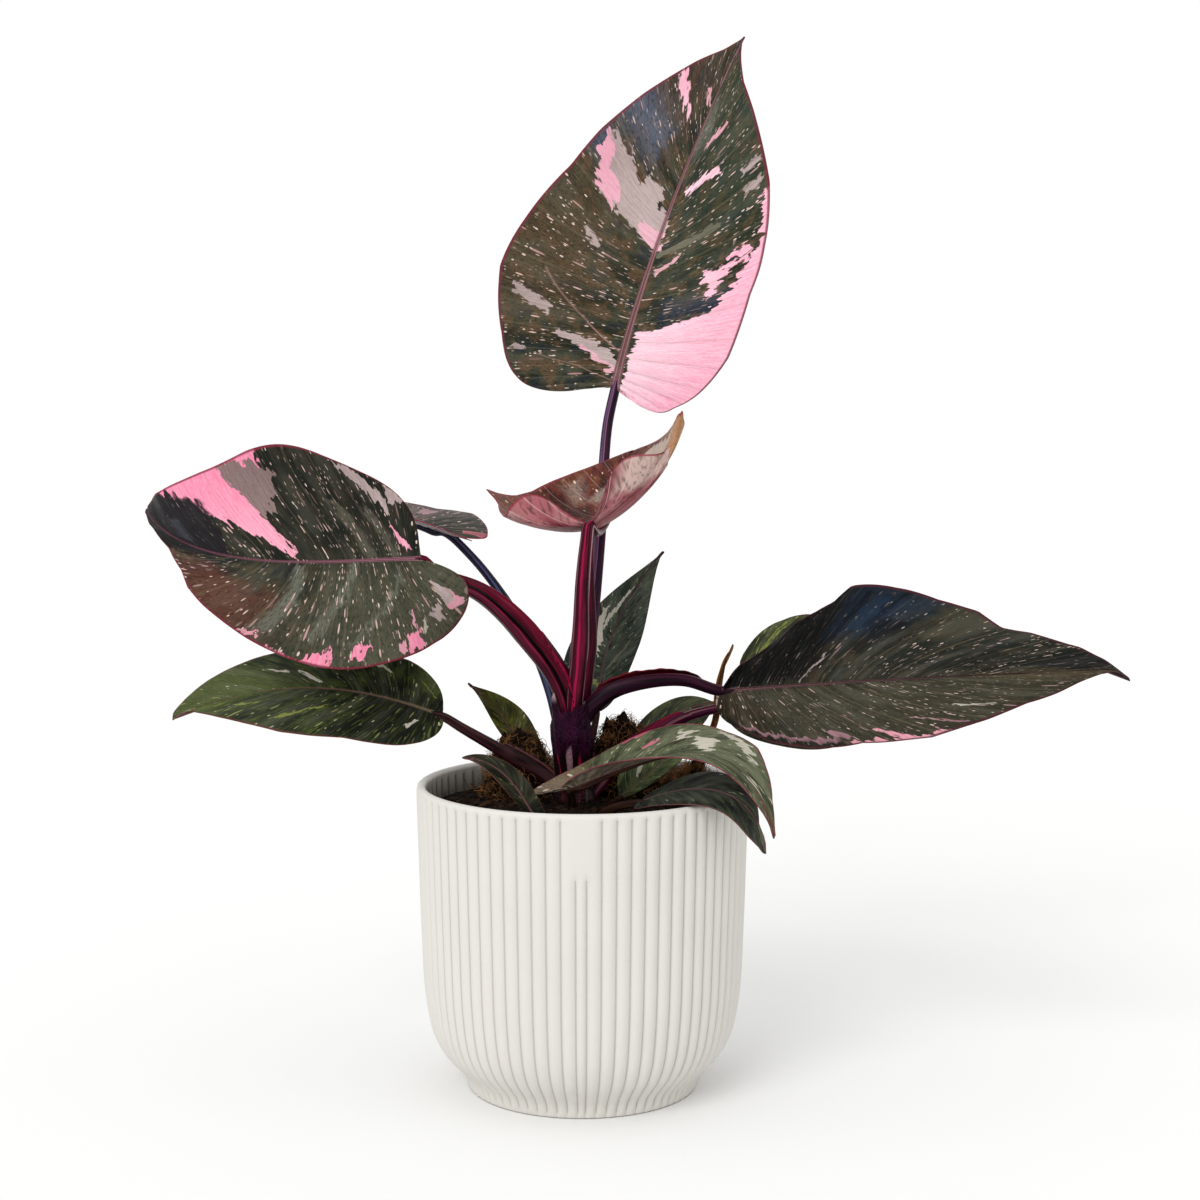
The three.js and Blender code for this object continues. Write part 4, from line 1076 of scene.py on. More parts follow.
# %% Looks of the upper leaves
DARK_FLECKS = [(5.5, 0.75, 0.24, "#d4b2a8"), (10, 0.9, 0.08, "#b98f8c"), (2.4, 0.75, 0.20, "#dcc4b8")]
GREEN_FLECKS = [(6, 0.9, 0.16, "#8a8a55"), (11, 1.4, 0.10, "#7d8245"), (2.4, 0.9, 0.08, "#b5b78f")]
LOOKS = {
    "top_leaf": dict(
        green=("#22261a", "#3d3f2f"), under=("#2b1a19", "#40282a"), mottle=("#5c4630", "#1c242c"),
        streak="#66644b", streaks=0.3, sheen=0.08, jag=0.8, rib="#6f504e", rib_line="#a8727e",
        rib_width=2.8, rib_end=0.5, margin="#6d2231",
        tones={"pink": ("#efa2b9", "#f9d9e3")},
        flecks=DARK_FLECKS,
        tints=[
            ("#57452f", 0.6, -1, 0.35, 1.1, 0.45, 0.42, 0.7, 0.68, 0.1),
            ("#4c3b34", 0.55, -1, 0.3, 1.1, 0.74, 0.74, 0.95, 0.9, 0.06),
            # painted sheen: this blue-grey row and the next two are reflections of the light on the gloss
            ("#5a6276", 0.8, -1, 0.5, 1.1, 0.755, 0.735, 0.8, 0.78, 0.03),
            ("#3d4a66", 0.7, -1, 0.86, 1.1, 0.69, 0.69, 0.72, 0.72, 0.012),
            ("#2c3345", 0.75, 1, 0.25, 0.9, 0.46, 0.47, 0.52, 0.5, 0.025),
            ("#22301c", 0.6, 1, 0.3, 1.1, 0.6, 0.6, 0.9, 0.9, 0.08),
            ("#8a8a80", 0.35, 1, 0.0, 0.5, 0.82, 0.8, 0.9, 0.88, 0.03),
        ],
        veils=[
            ("#a58078", 0.7, -1, 0.03, 0.31, 0.35, 0.434, 0.357, 0.44, 0.002),
            ("#a07c74", 0.5, -1, 0.3, 0.7, 0.434, 0.525, 0.44, 0.53, 0.0015),
            ("#a07c74", 0.6, -1, 0.04, 0.35, 0.16, 0.258, 0.168, 0.266, 0.0015),
            ("#a07c74", 0.5, -1, 0.34, 0.7, 0.259, 0.311, 0.265, 0.316, 0.0015),
        ],
        patches=[
            ("pink", 1, 0.085, 0.74, -0.3, -0.3, 0.432, 0.472),
            ("pink", 1, 0.7, 1.3, -0.3, -0.3, 0.47, 0.71),
            ("pink", 1, 0.955, 1.3, 0.5, 0.5, 0.64, 0.66),
            ("pale", -1, 0.66, 0.92, 0.67, 0.7, 0.727, 0.724),
            ("pale", -1, 0.4, 0.7, 0.664, 0.667, 0.716, 0.732),
            ("pale", -1, -0.05, 0.43, 0.65, 0.67, 0.724, 0.718),
            ("pale", -1, 0.15, 0.41, 0.714, 0.714, 0.748, 0.741),
            ("tinge", -1, -0.05, 0.22, 0.646, 0.664, 0.69, 0.684),
            ("tinge", -1, 0.5, 0.8, 0.66, 0.676, 0.682, 0.708),
            ("tinge", -1, 0.78, 0.93, 0.686, 0.7, 0.712, 0.718),
            ("tinge", -1, -0.02, 0.1, 0.17, 0.25, 0.215, 0.3),
            ("tinge", -1, 0.1, 0.34, 0.275, 0.346, 0.296, 0.362),
            ("pale", -1, -0.02, 0.12, 0.17, 0.27, 0.265, 0.352),
            ("pale", -1, 0.1, 0.32, 0.275, 0.346, 0.35, 0.39),
            ("pale", -1, 0.3, 0.52, 0.348, 0.38, 0.388, 0.402),
            ("pale", -1, 0.6, 0.86, 0.434, 0.462, 0.458, 0.486),
            ("pale", -1, 0.43, 0.57, 0.6, 0.606, 0.611, 0.618),
            ("pink", -1, 0.62, 0.97, 0.824, 0.818, 0.836, 0.833),
            ("pink", -1, 0.48, 0.63, 0.83, 0.833, 0.836, 0.841),
            ("pink", 1, 0.2, 0.62, 0.741, 0.722, 0.752, 0.734),
            ("olive", 1, 0.03, 0.6, 0.634, 0.63, 0.648, 0.644),
            ("pink", 1, 0.7, 0.86, 0.562, 0.562, 0.573, 0.575),
            ("pink", 1, 0.69, 0.88, 0.548, 0.548, 0.557, 0.559),
            ("pink", 1, 0.53, 0.7, 0.536, 0.534, 0.56, 0.554),
            ("pink", 1, 0.58, 0.68, 0.497, 0.512, 0.54, 0.54),
            ("blush", 1, 0.05, 0.28, 0.588, 0.61, 0.6, 0.622),
            ("blush", 1, 0.38, 0.72, 0.796, 0.782, 0.803, 0.79),
            ("pale", 1, 0.8, 0.97, 0.682, 0.684, 0.694, 0.698),
            ("pale", 1, 0.8, 0.95, 0.655, 0.657, 0.664, 0.668),
            ("blush", -1, 0.1, 0.55, 0.896, 0.878, 0.902, 0.885),
            ("pale", -1, 0.8, 0.92, 0.33, 0.334, 0.338, 0.346),
        ]),
    "left_leaf": dict(
        green=("#1b1e15", "#353629"), under=("#2c181c", "#44282c"), mottle=("#433a26", "#151b1c"),
        streak="#66644f", streaks=0.16, sheen=0.08, jag=1.1, rib="#a06a7a", rib_line="#5a3340",
        rib_width=1.1, margin="#7d2438",
        tones={"pink": ("#e27c9b", "#efafc2")},
        flecks=DARK_FLECKS,
        tints=[
            ("#10120b", 0.72, 1, -0.1, 1.1, 0.1, 0.1, 1.2, 1.2, 0.06),
            ("#50503f", 0.62, -1, 0.05, 1.1, -0.1, -0.1, 0.6, 0.6, 0.1),
            ("#5c3227", 0.75, -1, 0.5, 1.1, 0.66, 0.66, 0.8, 0.78, 0.05),
            # painted sheen: this grey-green row and the next five are pale bands where the gloss catches
            # the light
            ("#737669", 0.6, -1, 0.05, 0.5, 0.646, 0.632, 0.668, 0.654, 0.009),
            ("#737669", 0.5, -1, 0.47, 0.88, 0.632, 0.643, 0.654, 0.664, 0.009),
            ("#737669", 0.6, -1, 0.02, 0.4, 0.498, 0.541, 0.52, 0.561, 0.009),
            ("#737669", 0.5, -1, 0.37, 0.82, 0.541, 0.584, 0.561, 0.602, 0.009),
            ("#737669", 0.5, -1, 0.1, 0.5, 0.306, 0.426, 0.334, 0.448, 0.009),
            ("#737669", 0.45, -1, 0.47, 0.78, 0.426, 0.513, 0.448, 0.534, 0.009),
            # painted sheen: the two pale rows near the midrib
            ("#7a7566", 0.35, 1, 0.0, 0.5, 0.42, 0.45, 0.46, 0.49, 0.012),
            ("#7a7566", 0.35, 1, 0.0, 0.5, 0.3, 0.35, 0.34, 0.4, 0.012),
        ],
        veils=[
            # painted shade: the four near-black rows darken the tip as if it curled back into shade
            ("#131015", 0.95, 1, -0.2, 0.42, 0.815, 0.775, 1.2, 1.2, 0.007),
            ("#131015", 0.95, 1, 0.38, 0.76, 0.776, 0.768, 1.2, 1.2, 0.007),
            ("#131015", 0.95, 1, 0.72, 0.96, 0.766, 0.83, 1.2, 1.2, 0.007),
            ("#131015", 0.92, -1, -0.2, 1.2, 0.825, 0.812, 1.2, 1.2, 0.01),
            # painted sheen: a blue-grey reflection on the dark tip
            ("#4a4c58", 0.35, 1, 0.2, 0.6, 0.86, 0.85, 0.885, 0.88, 0.014),
        ],
        patches=[
            ("pink", 1, 0.05, 0.52, 0.652, 0.672, 0.668, 0.752),
            ("pink", 1, 0.5, 0.74, 0.652, 0.668, 0.752, 0.785),
            ("pink", 1, 0.72, 0.9, 0.668, 0.69, 0.785, 0.83),
            ("pink", 1, 0.87, 1.3, 0.605, 0.61, 0.82, 0.95),
            ("ash", 1, 0.5, 0.8, 0.64, 0.575, 0.666, 0.685),
            ("ash", 1, 0.78, 0.98, 0.58, 0.65, 0.685, 0.71),
            ("pale", 1, 0.55, 0.82, 0.283, 0.281, 0.294, 0.365),
            ("pale", 1, 0.8, 0.97, 0.285, 0.35, 0.365, 0.41),
            ("pink", 1, 0.14, 0.38, 0.175, 0.285, 0.265, 0.305),
            ("pale", 1, 0.7, 0.99, 0.252, 0.19, 0.27, 0.26),
            ("pink", -1, 0.985, 1.3, 0.55, 0.55, 0.635, 0.635),
            ("pink", -1, 0.88, 1.02, 0.548, 0.552, 0.572, 0.6),
            ("pink", -1, 0.78, 0.98, 0.355, 0.362, 0.392, 0.405),
            ("blush", -1, 0.84, 0.95, 0.408, 0.41, 0.424, 0.43),
            ("blush", -1, 0.9, 0.98, 0.65, 0.655, 0.664, 0.674),
            # painted highlight: this small white patch is a glint of light on the gloss
            ("white", -1, 0.7, 0.84, 0.32, 0.33, 0.332, 0.344),
            ("pink", -1, 0.8, 0.93, 0.478, 0.5, 0.512, 0.53),
            ("blush", -1, 0.56, 0.74, 0.35, 0.362, 0.358, 0.372),
            ("pale", -1, 0.42, 0.75, 0.186, 0.155, 0.198, 0.22),
            ("blush", -1, 0.74, 0.93, 0.155, 0.15, 0.22, 0.186),
            ("pale", -1, 0.65, 0.86, 0.238, 0.256, 0.294, 0.272),
        ]),
    "hidden_leaf": dict(
        green=("#3a2a26", "#574440"), under=("#2f1b1d", "#4c3230"), mottle=("#4f3a30", "#211719"),
        rib="#7d5a5a", rib_width=0.9, margin="#9c1f45",
        flecks=DARK_FLECKS,
        tints=[
            ("#26251c", 0.9, 1, -0.2, 1.2, -0.1, -0.1, 0.46, 0.46, 0.02),
            ("#26251c", 0.9, -1, -0.2, 1.2, -0.1, -0.1, 0.3, 0.3, 0.02),
        ],
        patches=[
            ("rose", 1, 0.55, 1.3, 0.12, 0.1, 0.19, 0.19),
            ("mauve", 1, 0.4, 0.8, 0.5, 0.5, 0.54, 0.56),
        ]),
    "young_leaf": dict(
        green=("#38110e", "#66271f"), under=("#7a323c", "#a8656a"), mottle=("#6e4026", "#260f0c"),
        streak="#8a6654", streaks=0.25, vein="#cdb0ac", sheen=0.05, rib="#7d3c44", rib_width=0.8,
        margin="#8a2c3e",
        flecks=[(3, 1, 0.15, "#d9c0a8")],
        tints=[
            ("#bf8a5c", 0.85, 1, 0.3, 1.2, 0.35, 0.35, 0.75, 0.75, 0.08),
            ("#7a4a38", 0.6, -1, 0.5, 1.2, 0.0, 0.0, 0.6, 0.6, 0.08),
            # painted highlight: the three whitish rows are glints of light inside the bowl
            ("#a3948a", 0.7, -1, 0.1, 0.45, 0.76, 0.74, 0.84, 0.86, 0.03),
            ("#b0a096", 0.7, 1, 0.02, 0.2, 0.8, 0.8, 0.93, 0.95, 0.03),
            ("#a3948a", 0.5, -1, 0.5, 0.85, 0.69, 0.72, 0.73, 0.78, 0.03),
        ],
        under_tints=[
            # painted shade: a dark red wash at the base of the underside, where it lies in shade
            ("#5a1c28", 0.7, 1, -0.2, 1.2, -0.1, -0.1, 0.1, 0.1, 0.04),
            ("#4a1620", 0.6, -1, 0.0, 0.5, 0.16, 0.2, 0.3, 0.36, 0.05),
            ("#c3aea4", 0.8, 1, 0.62, 1.1, 0.1, 0.12, 0.62, 0.66, 0.04),
            ("#b98a62", 0.85, 1, 0.3, 1.2, 0.6, 0.58, 0.9, 0.9, 0.06),
            ("#a88a86", 0.6, -1, 0.8, 1.1, 0.2, 0.2, 0.5, 0.5, 0.03),
        ],
        patches=[
            ("cream", 1, -0.1, 0.5, 0.78, 0.74, 0.98, 0.96),
            ("cream", 1, 0.45, 0.92, 0.76, 0.7, 0.95, 0.86),
        ]),
}
print(len(LOOKS), "looks so far")

# %% [markdown]
# ## What the side leaves look like
# The left-hand leaf is deep green with yellow-green streaks, painted highlights towards its tip and
# painted shade near its stalk. The large right-hand one is nearly black, with a painted blue sheen
# towards its upper margin and pink only at its lower one.

# %% Looks of the side leaves
LOOKS |= {
    "low_left_leaf": dict(
        green=("#161c10", "#2b351c"), under=("#2c321f", "#3b422a"), mottle=("#38421f", "#10150e"),
        streak="#5c6630", streaks=0.6, vein="#6b7538", rib="#7d7f50", rib_width=0.9, margin="#5b2c22",
        flecks=GREEN_FLECKS,
        tints=[
            # painted highlight: the three yellow-green rows light the blade towards its tip and outer
            # margin
            ("#4f5a2c", 0.7, 1, 0.0, 1.1, 0.74, 0.74, 1.0, 0.95, 0.05),
            ("#5c6a2e", 0.6, -1, 0.0, 1.1, 0.8, 0.78, 1.0, 0.95, 0.05),
            ("#56632e", 0.6, 1, 0.3, 1.1, 0.22, 0.2, 0.36, 0.36, 0.05),
            # painted shade: the three near-black rows darken the blade near its stalk
            ("#0b0f08", 0.8, 1, -0.1, 0.5, -0.1, -0.1, 0.64, 0.5, 0.06),
            ("#0b0f08", 0.8, 1, 0.4, 1.1, -0.1, -0.1, 0.3, 0.16, 0.06),
            ("#0b0f08", 0.8, -1, -0.1, 1.1, -0.1, -0.1, 0.56, 0.5, 0.06),
        ],
        patches=[
            ("white", 1, 0.18, 0.45, 0.672, 0.677, 0.686, 0.692),
            ("white", 1, 0.5, 0.66, 0.704, 0.718, 0.718, 0.733),
            ("white", -1, 0.33, 0.55, 0.283, 0.313, 0.303, 0.333),
            ("white", 1, 0.58, 0.73, 0.45, 0.478, 0.468, 0.496),
            ("lime", -1, 0.42, 0.86, 0.604, 0.64, 0.612, 0.65),
            ("lime", 1, 0.55, 0.7, 0.22, 0.33, 0.25, 0.36),
            ("lime", -1, 0.6, 0.75, 0.735, 0.755, 0.748, 0.77),
        ]),
    "right_leaf": dict(
        green=("#15160f", "#28281e"), under=("#1d1214", "#331f21"), streak="#5c5843", streaks=0.35,
        # the left half's streaks are blue-grey: partly the leaf's own streaks, partly painted sheen
        streak_left="#3c4446", sheen=0.1, gloss=0.06, jag=0.7, rib="#6b4a4c", rib_line="#35252a",
        rib_width=1.1, margin="#4a1c26",
        flecks=[(5, 0.75, 0.2, "#b8a094"), (9, 0.9, 0.07, "#a8868a"), (2.2, 0.75, 0.14, "#d0bcb0")],
        tints=[
            ("#20221b", 0.6, -1, 0.0, 1.1, 0.56, 0.58, 0.84, 0.84, 0.05),
            ("#403d2f", 0.62, 1, 0.0, 1.1, 0.28, 0.3, 0.85, 0.85, 0.12),
            ("#33291b", 0.62, 1, -0.1, 1.1, -0.1, -0.1, 0.26, 0.28, 0.1),
            ("#51452f", 0.6, 1, -0.1, 1.1, 0.8, 0.8, 1.2, 1.2, 0.06),
            ("#51452f", 0.5, -1, -0.1, 0.5, 0.84, 0.84, 1.2, 1.2, 0.04),
        ],
        veils=[
            ("#030304", 0.94, -1, 0.04, 1.1, 0.1, 0.08, 0.485, 0.5, 0.035),
            # painted sheen: this row and the next two are the blue reflection of the light on the dark left
            # half
            ("#1a2735", 0.66, -1, 0.5, 1.1, 0.46, 0.445, 0.56, 0.59, 0.022),
            ("#20334a", 0.42, -1, 0.58, 0.9, 0.49, 0.49, 0.53, 0.54, 0.014),
            ("#10161c", 0.6, -1, 0.5, 1.1, 0.8, 0.79, 0.9, 0.9, 0.03),
            ("#4f4b3a", 0.4, -1, 0.6, 1.1, 0.59, 0.58, 0.64, 0.655, 0.016),
            ("#060709", 0.65, -1, 0.5, 0.97, 0.472, 0.468, 0.482, 0.48, 0.006),
            ("#060709", 0.65, -1, 0.62, 1.02, 0.512, 0.514, 0.522, 0.528, 0.006),
            ("#060709", 0.55, -1, 0.3, 0.84, 0.585, 0.596, 0.594, 0.608, 0.006),
            ("#070808", 0.7, -1, 0.35, 0.72, 0.53, 0.525, 0.562, 0.572, 0.01),
            ("#0b0c0a", 0.6, -1, 0.25, 0.65, 0.715, 0.71, 0.77, 0.775, 0.012),
            ("#0c0d0b", 0.8, 1, 0.9, 1.1, 0.14, 0.14, 0.4, 0.4, 0.02),
        ],
        patches=[
            ("mauve", -1, -0.02, 0.14, 0.05, 0.09, 0.33, 0.22),
            ("mauve", 1, 0.865, 0.925, 0.2, 0.21, 0.4, 0.4),
            ("mauve", 1, 0.76, 0.9, 0.395, 0.4, 0.41, 0.425),
            ("blush", 1, 0.8, 0.97, 0.475, 0.485, 0.488, 0.505),
            ("blush", 1, 0.955, 1.3, 0.41, 0.41, 0.545, 0.545),
            ("white", 1, 0.7, 0.86, 0.625, 0.652, 0.632, 0.66),
            ("pale", -1, 0.04, 0.32, 0.472, 0.494, 0.477, 0.5),
            ("mauve", 1, 0.72, 0.95, 0.552, 0.578, 0.557, 0.585),
        ]),
    "rear_right_leaf": dict(
        green=("#1a2011", "#313a1c"), under=("#2f331e", "#3e4228"), mottle=("#434b22", "#12180f"),
        streak="#69713a", streaks=0.55, vein="#7a8240", rib="#6f7345", rib_width=0.9, margin="#4a3020",
        flecks=GREEN_FLECKS,
        patches=[
            ("lime", -1, 0.2, 0.95, 0.4, 0.488, 0.411, 0.499),
            ("lime", -1, 0.3, 0.9, 0.425, 0.505, 0.431, 0.511),
            ("lime", -1, 0.13, 0.44, 0.463, 0.49, 0.47, 0.497),
            ("lime", -1, 0.5, 0.9, 0.53, 0.57, 0.536, 0.576),
            ("white", -1, 0.34, 0.55, 0.428, 0.445, 0.436, 0.455),
        ]),
}
print(len(LOOKS), "looks so far")

# %% [markdown]
# ## What the small leaves look like
# The small leaves are young and greener. The one that arches over the rim is sage green with white
# patches, and the others carry only a few flecks.

# %% Looks of the small leaves
LOOKS |= {
    "centre_leaf": dict(
        green=("#242d24", "#445043"), under=("#282f22", "#3a4234"), mottle=("#38413a", "#10161a"),
        streak="#7f8766", streaks=0.4, rib="#4a4f45", rib_width=0.7, margin="#3d3a30",
        flecks=[(2.4, 0.8, 0.2, "#a9ab84"), (5, 1.2, 0.1, "#9aa070")],
        patches=[
            ("white", -1, 0.24, 0.76, 0.57, 0.655, 0.64, 0.715),
            ("white", -1, 0.39, 0.53, 0.665, 0.69, 0.845, 0.8),
            ("olive", 1, 0.15, 0.7, 0.5, 0.55, 0.52, 0.57),
            ("lime", -1, 0.0, 0.4, 0.4, 0.46, 0.43, 0.49),
        ]),
    "rear_left_leaf": dict(
        green=("#2a2d0a", "#525418"), under=("#2f331b", "#3e4226"), mottle=("#66661c", "#181b08"),
        streak="#77781f", streaks=0.5, rib="#7a7c45", rib_width=0.6, margin="#4a3a20",
        flecks=GREEN_FLECKS),
    "front_left_leaf": dict(
        green=("#0b0d05", "#181b0a"), under=("#33361f", "#43472c"), mottle=("#25280f", "#080a05"),
        streak="#41441f", streaks=0.3, gloss=0.06, rib="#5c5a3c", rib_width=0.6, margin="#7a4a44",
        flecks=[(2.4, 0.8, 0.12, "#8f8f62")]),
    "front_leaf": dict(
        green=("#3b432d", "#5a5f46"), under=("#665a4e", "#857868"), mottle=("#5f6449", "#2c3224"),
        streak="#7c7f62", streaks=0.35, vein="#9a927c", rib="#8e5a54", rib_width=0.9, rib_end=0.1,
        margin="#8a2f45",
        flecks=[(2.4, 0.9, 0.2, "#bdb79f"), (6, 1.6, 0.1, "#c4b9a8")],
        tints=[
            ("#806a57", 0.85, 1, -0.1, 1.2, -0.1, -0.1, 0.44, 0.5, 0.05),
            ("#262417", 0.85, 1, 0.58, 0.86, 0.69, 0.705, 0.76, 0.775, 0.014),
            ("#2e2a18", 0.85, -1, 0.42, 0.6, 0.606, 0.604, 0.632, 0.63, 0.008),
            ("#7a6350", 0.8, -1, -0.1, 1.2, -0.1, -0.1, 0.26, 0.34, 0.05),
            ("#6e4234", 0.7, 1, -0.1, 1.2, 0.86, 0.86, 1.2, 1.2, 0.05),
            ("#6e4234", 0.7, -1, -0.1, 1.2, 0.9, 0.9, 1.2, 1.2, 0.04),
        ],
        patches=[
            ("rose", -1, 0.42, 0.6, 0.522, 0.53, 0.545, 0.555),
            ("white", -1, 0.53, 0.78, 0.612, 0.556, 0.632, 0.585),
            ("white", -1, 0.24, 0.64, 0.735, 0.62, 0.755, 0.675),
            ("white", -1, 0.8, 0.94, 0.64, 0.6, 0.735, 0.66),
            # painted highlight: a small white glint of light on the gloss
            ("white", -1, 0.36, 0.56, 0.835, 0.84, 0.855, 0.86),
            ("white", -1, 0.1, 0.6, 0.86, 0.87, 0.875, 0.885),
            ("rose", -1, 0.9, 1.3, 0.4, 0.42, 0.46, 0.5),
        ]),
    "rim_leaf": dict(
        green=("#12160f", "#232a20"), under=("#2b3226", "#3a4234"), mottle=("#38402f", "#10161a"),
        streak="#4a5140", streaks=0.4, rib="#5c6450", rib_width=0.7, margin="#6d3f3c",
        flecks=[(2.4, 0.8, 0.08, "#9aa07c")]),
    "inner_front_leaf": dict(
        green=("#39442a", "#5c693e"), under=("#333920", "#434a2c"), mottle=("#6a7446", "#1c2618"),
        streak="#8f9668", streaks=0.6, rib="#7a8050", rib_width=0.6, margin="#4a4a2c",
        flecks=[(2.6, 0.9, 0.2, "#b3b68c")],
        patches=[
            ("white", -1, 0.2, 0.8, 0.5, 0.55, 0.56, 0.62),
        ]),
    "inner_right_leaf": dict(
        green=("#1f2617", "#374024"), under=("#30361f", "#3f452a"), mottle=("#434b2a", "#12180f"),
        streak="#676d43", streaks=0.5, rib="#6c7248", rib_width=0.6, margin="#4a3a28",
        flecks=GREEN_FLECKS),
}
print(len(LOOKS), "looks so far")

# %% [markdown]
# ## Make the blades
# With a shape and a look for each leaf, one loop makes them all. Every blade stands for the CAD
# node of the same name.

# %% Blades
for name, leaf in LEAVES.items():
    look = LOOKS[name]
    faces = [leaf_finish(name, look), leaf_finish(name, look, under=True)]
    add_blade(name, leaf, [*faces, margin_finish(name, look["margin"])])

# %% [markdown]
# ## Leaf stalks
# A stalk is round at the back and has a channel at the front, where the next leaf grew. It could be
# a curve with a profile, but then the channel couldn't fade towards the blade. Here it is a grid
# rolled into a tube along a smooth path, with the channel pressed in, and it runs on under the blade
# as the raised midrib.

# %% Stalk shapes
MIDRIB_STEPS = [0.05, 0.12, 0.24, 0.42, 0.62]  # shares of the midrib that the stalk runs on under
STALK_SIDES, STALK_ROWS, PATH_STEPS = 32, 110, 140
CHANNEL_WIDTH, LIP_AT, LIP_WIDTH = 0.42, 0.85, 0.28  # radians round the stalk


class StalkFrame:
    """The stalk's middle line, run on under the blade, its own length without that, and the
    directions in which its channel opens and across it."""

    def __init__(self, leaf):
        q = np.array(MIDRIB_STEPS)
        middle, ahead = Midrib(leaf["midrib"]).at(q)
        sunk = leaf["radii"][2] * np.interp(q, [0, MIDRIB_STEPS[-1]], [0.8, 0.12]) + 0.45
        under = middle - facing(leaf, q, ahead) * sunk[:, None]
        self.own_length = walked(smooth_path(leaf["stalk"], 60))[-1]
        self.path = smooth_path([*leaf["stalk"], *under], PATH_STEPS)
        self.reach = walked(self.path)
        ahead = unit(np.gradient(self.path, axis=0))
        groove = np.array(leaf.get("groove", (0, 0, 1)), float)
        opened = []
        for direction in ahead:
            wanted = 0.15 * groove + 0.85 * opened[-1] if opened else groove
            opened.append(unit(wanted - direction * wanted.dot(direction)))
        self.opened = np.array(opened)
        self.across = np.cross(ahead, self.opened)

    def ring(self, length, angle, radius):
        """Places round the stalk at a length along it, and their attribute for the finish."""
        middle, opened, across = (
            look_up(length, self.reach, table) for table in (self.path, self.opened, self.across))
        out = opened * np.cos(angle)[:, None] + across * np.sin(angle)[:, None]
        marks = np.stack([np.cos(angle), np.sin(angle), length], axis=1)
        return middle + radius[:, None] * out, {"stalk": marks}


def stalk_mesh(leaf):
    spine = StalkFrame(leaf)
    foot, waist, neck = leaf["radii"]
    end = spine.reach[-1] / spine.own_length

    def bend(u, v):
        length = np.interp(v * (PATH_STEPS - 1), np.arange(PATH_STEPS), spine.reach)
        t = length / spine.own_length
        radius = np.interp(t, [0, 0.5, 1, 1.02, end], [foot, waist, neck, neck * 0.8, 0.3])
        around = (u - 0.5) * 2 * np.pi
        turn = np.pi - np.abs(around)
        fade = np.clip(3 * (1 - t), 0, 1)
        depth = leaf.get("channel", 0.12) * fade
        size = 1 - 1.15 * depth * np.exp(-((turn / CHANNEL_WIDTH) ** 2))
        size += 0.35 * depth * np.exp(-(((turn - LIP_AT) / LIP_WIDTH) ** 2))
        size += 0.012 * np.sin(7 * around) * fade
        size[v > 0.9999] = 0.02
        return spine.ring(length, around + np.pi, radius * size)

    return bent_grid(STALK_SIDES, STALK_ROWS, bend)


print("stalks run on under", MIDRIB_STEPS[-1], "of the midrib")

# %% [markdown]
# ## The stalks' finish
# A stalk's back is dark wine red and its lips are bright crimson. Its channel is painted nearly black,
# as painted shade, and a few stalks carry a lighter band of painted sheen. These bands follow the
# angle round the stalk, so the finish works that angle out from the attribute and lays the bands on
# it, with fine lines drawn out along the stalk.

# %% Stalk finish
# the back's two tones, then bands: middle and half width in radians from the channel, and colour
STALK_LOOKS = {
    # painted sheen: the lilac bands at -2.1 and -1.75
    "top_leaf": (("#130a16", "#2c1b2e"), [(-2.1, 0.3, "#624468"), (-1.75, 0.07, "#8a5f78"),
        (-0.7, 0.25, "#330e22")]),
    "young_leaf": (("#2c0412", "#5c0a26"), [(-1.95, 0.08, "#6a4a54"), (-1.6, 0.2, "#3a0818"),
        (-1.27, 0.12, "#98103f"), (-0.02, 0.13, "#a5888e"), (-0.35, 0.12, "#4a1422"),
        (-0.62, 0.12, "#140206"), (0.7, 0.3, "#300716")]),
    # painted shade: the near-black band at -0.1 is the channel's shade
    "left_leaf": (("#14030a", "#350818"), [(-0.72, 0.26, "#420b1e"), (-0.5, 0.05, "#7e1a3c"),
        (0.68, 0.48, "#5c0620"), (1.02, 0.05, "#8a1038"), (-0.1, 0.26, "#070103")]),
    # painted sheen: the blue-grey band
    "hidden_leaf": (("#100e1a", "#2a2740"), [(-1.2, 0.25, "#464f70")]),
    "low_left_leaf": (("#10060a", "#28100f"), [(-0.9, 0.12, "#4a2a2c"), (-1.9, 0.15, "#38191d")]),
    # painted shade: the near-black band at 0 is the channel's shade
    "right_leaf": (("#0b0208", "#200818"), [(0, 0.27, "#050101"), (0.52, 0.11, "#7c0c30"),
        (-0.55, 0.2, "#480612"), (1.1, 0.16, "#2a071a"), (1.9, 0.2, "#1c0516")]),
    "rear_right_leaf": (("#17040f", "#3a0b24"), [(0.55, 0.12, "#7c0f2a"), (1.15, 0.14, "#7d505c"),
        (1.6, 0.16, "#4a1432")]),
}
# painted shade: the dark band at 0 is the channel's shade
SMALL_STALK = (("#1c120d", "#3c261c"), [(0, 0.3, "#120a07")])


def stalk_finish(name, back, bands):
    f = Finish(name + " stalk", 0.34, 0.07)
    stalk = f.attribute("stalk")
    ahead, aside = f.split(stalk)[:2]
    lines = f.long_noise(stalk, (5, 5, 0.04), 4)
    blots = f.long_noise(stalk, (1.2, 1.2, 0.06), 2)
    angle = f.plus(f.maths("ARCTAN2", aside, ahead), f.sway(blots, 0.2, 0.8, 0.1))
    colour = f.blend(f.step(blots, 0.35, 0.65), *(tone(code) for code in back))
    colour = f.bands(colour, angle, bands, 0.06, 0.92)
    colour = f.coat(colour, f.step(lines, 0.54, 0.66, 0, 0.14), "#7a2a4a")
    colour = f.coat(colour, f.step(lines, 0.46, 0.34, 0, 0.6), "#0c0306")
    return f.wear(colour, lines, 0.2, f.step(blots, 0.3, 0.7, 0.28, 0.44))


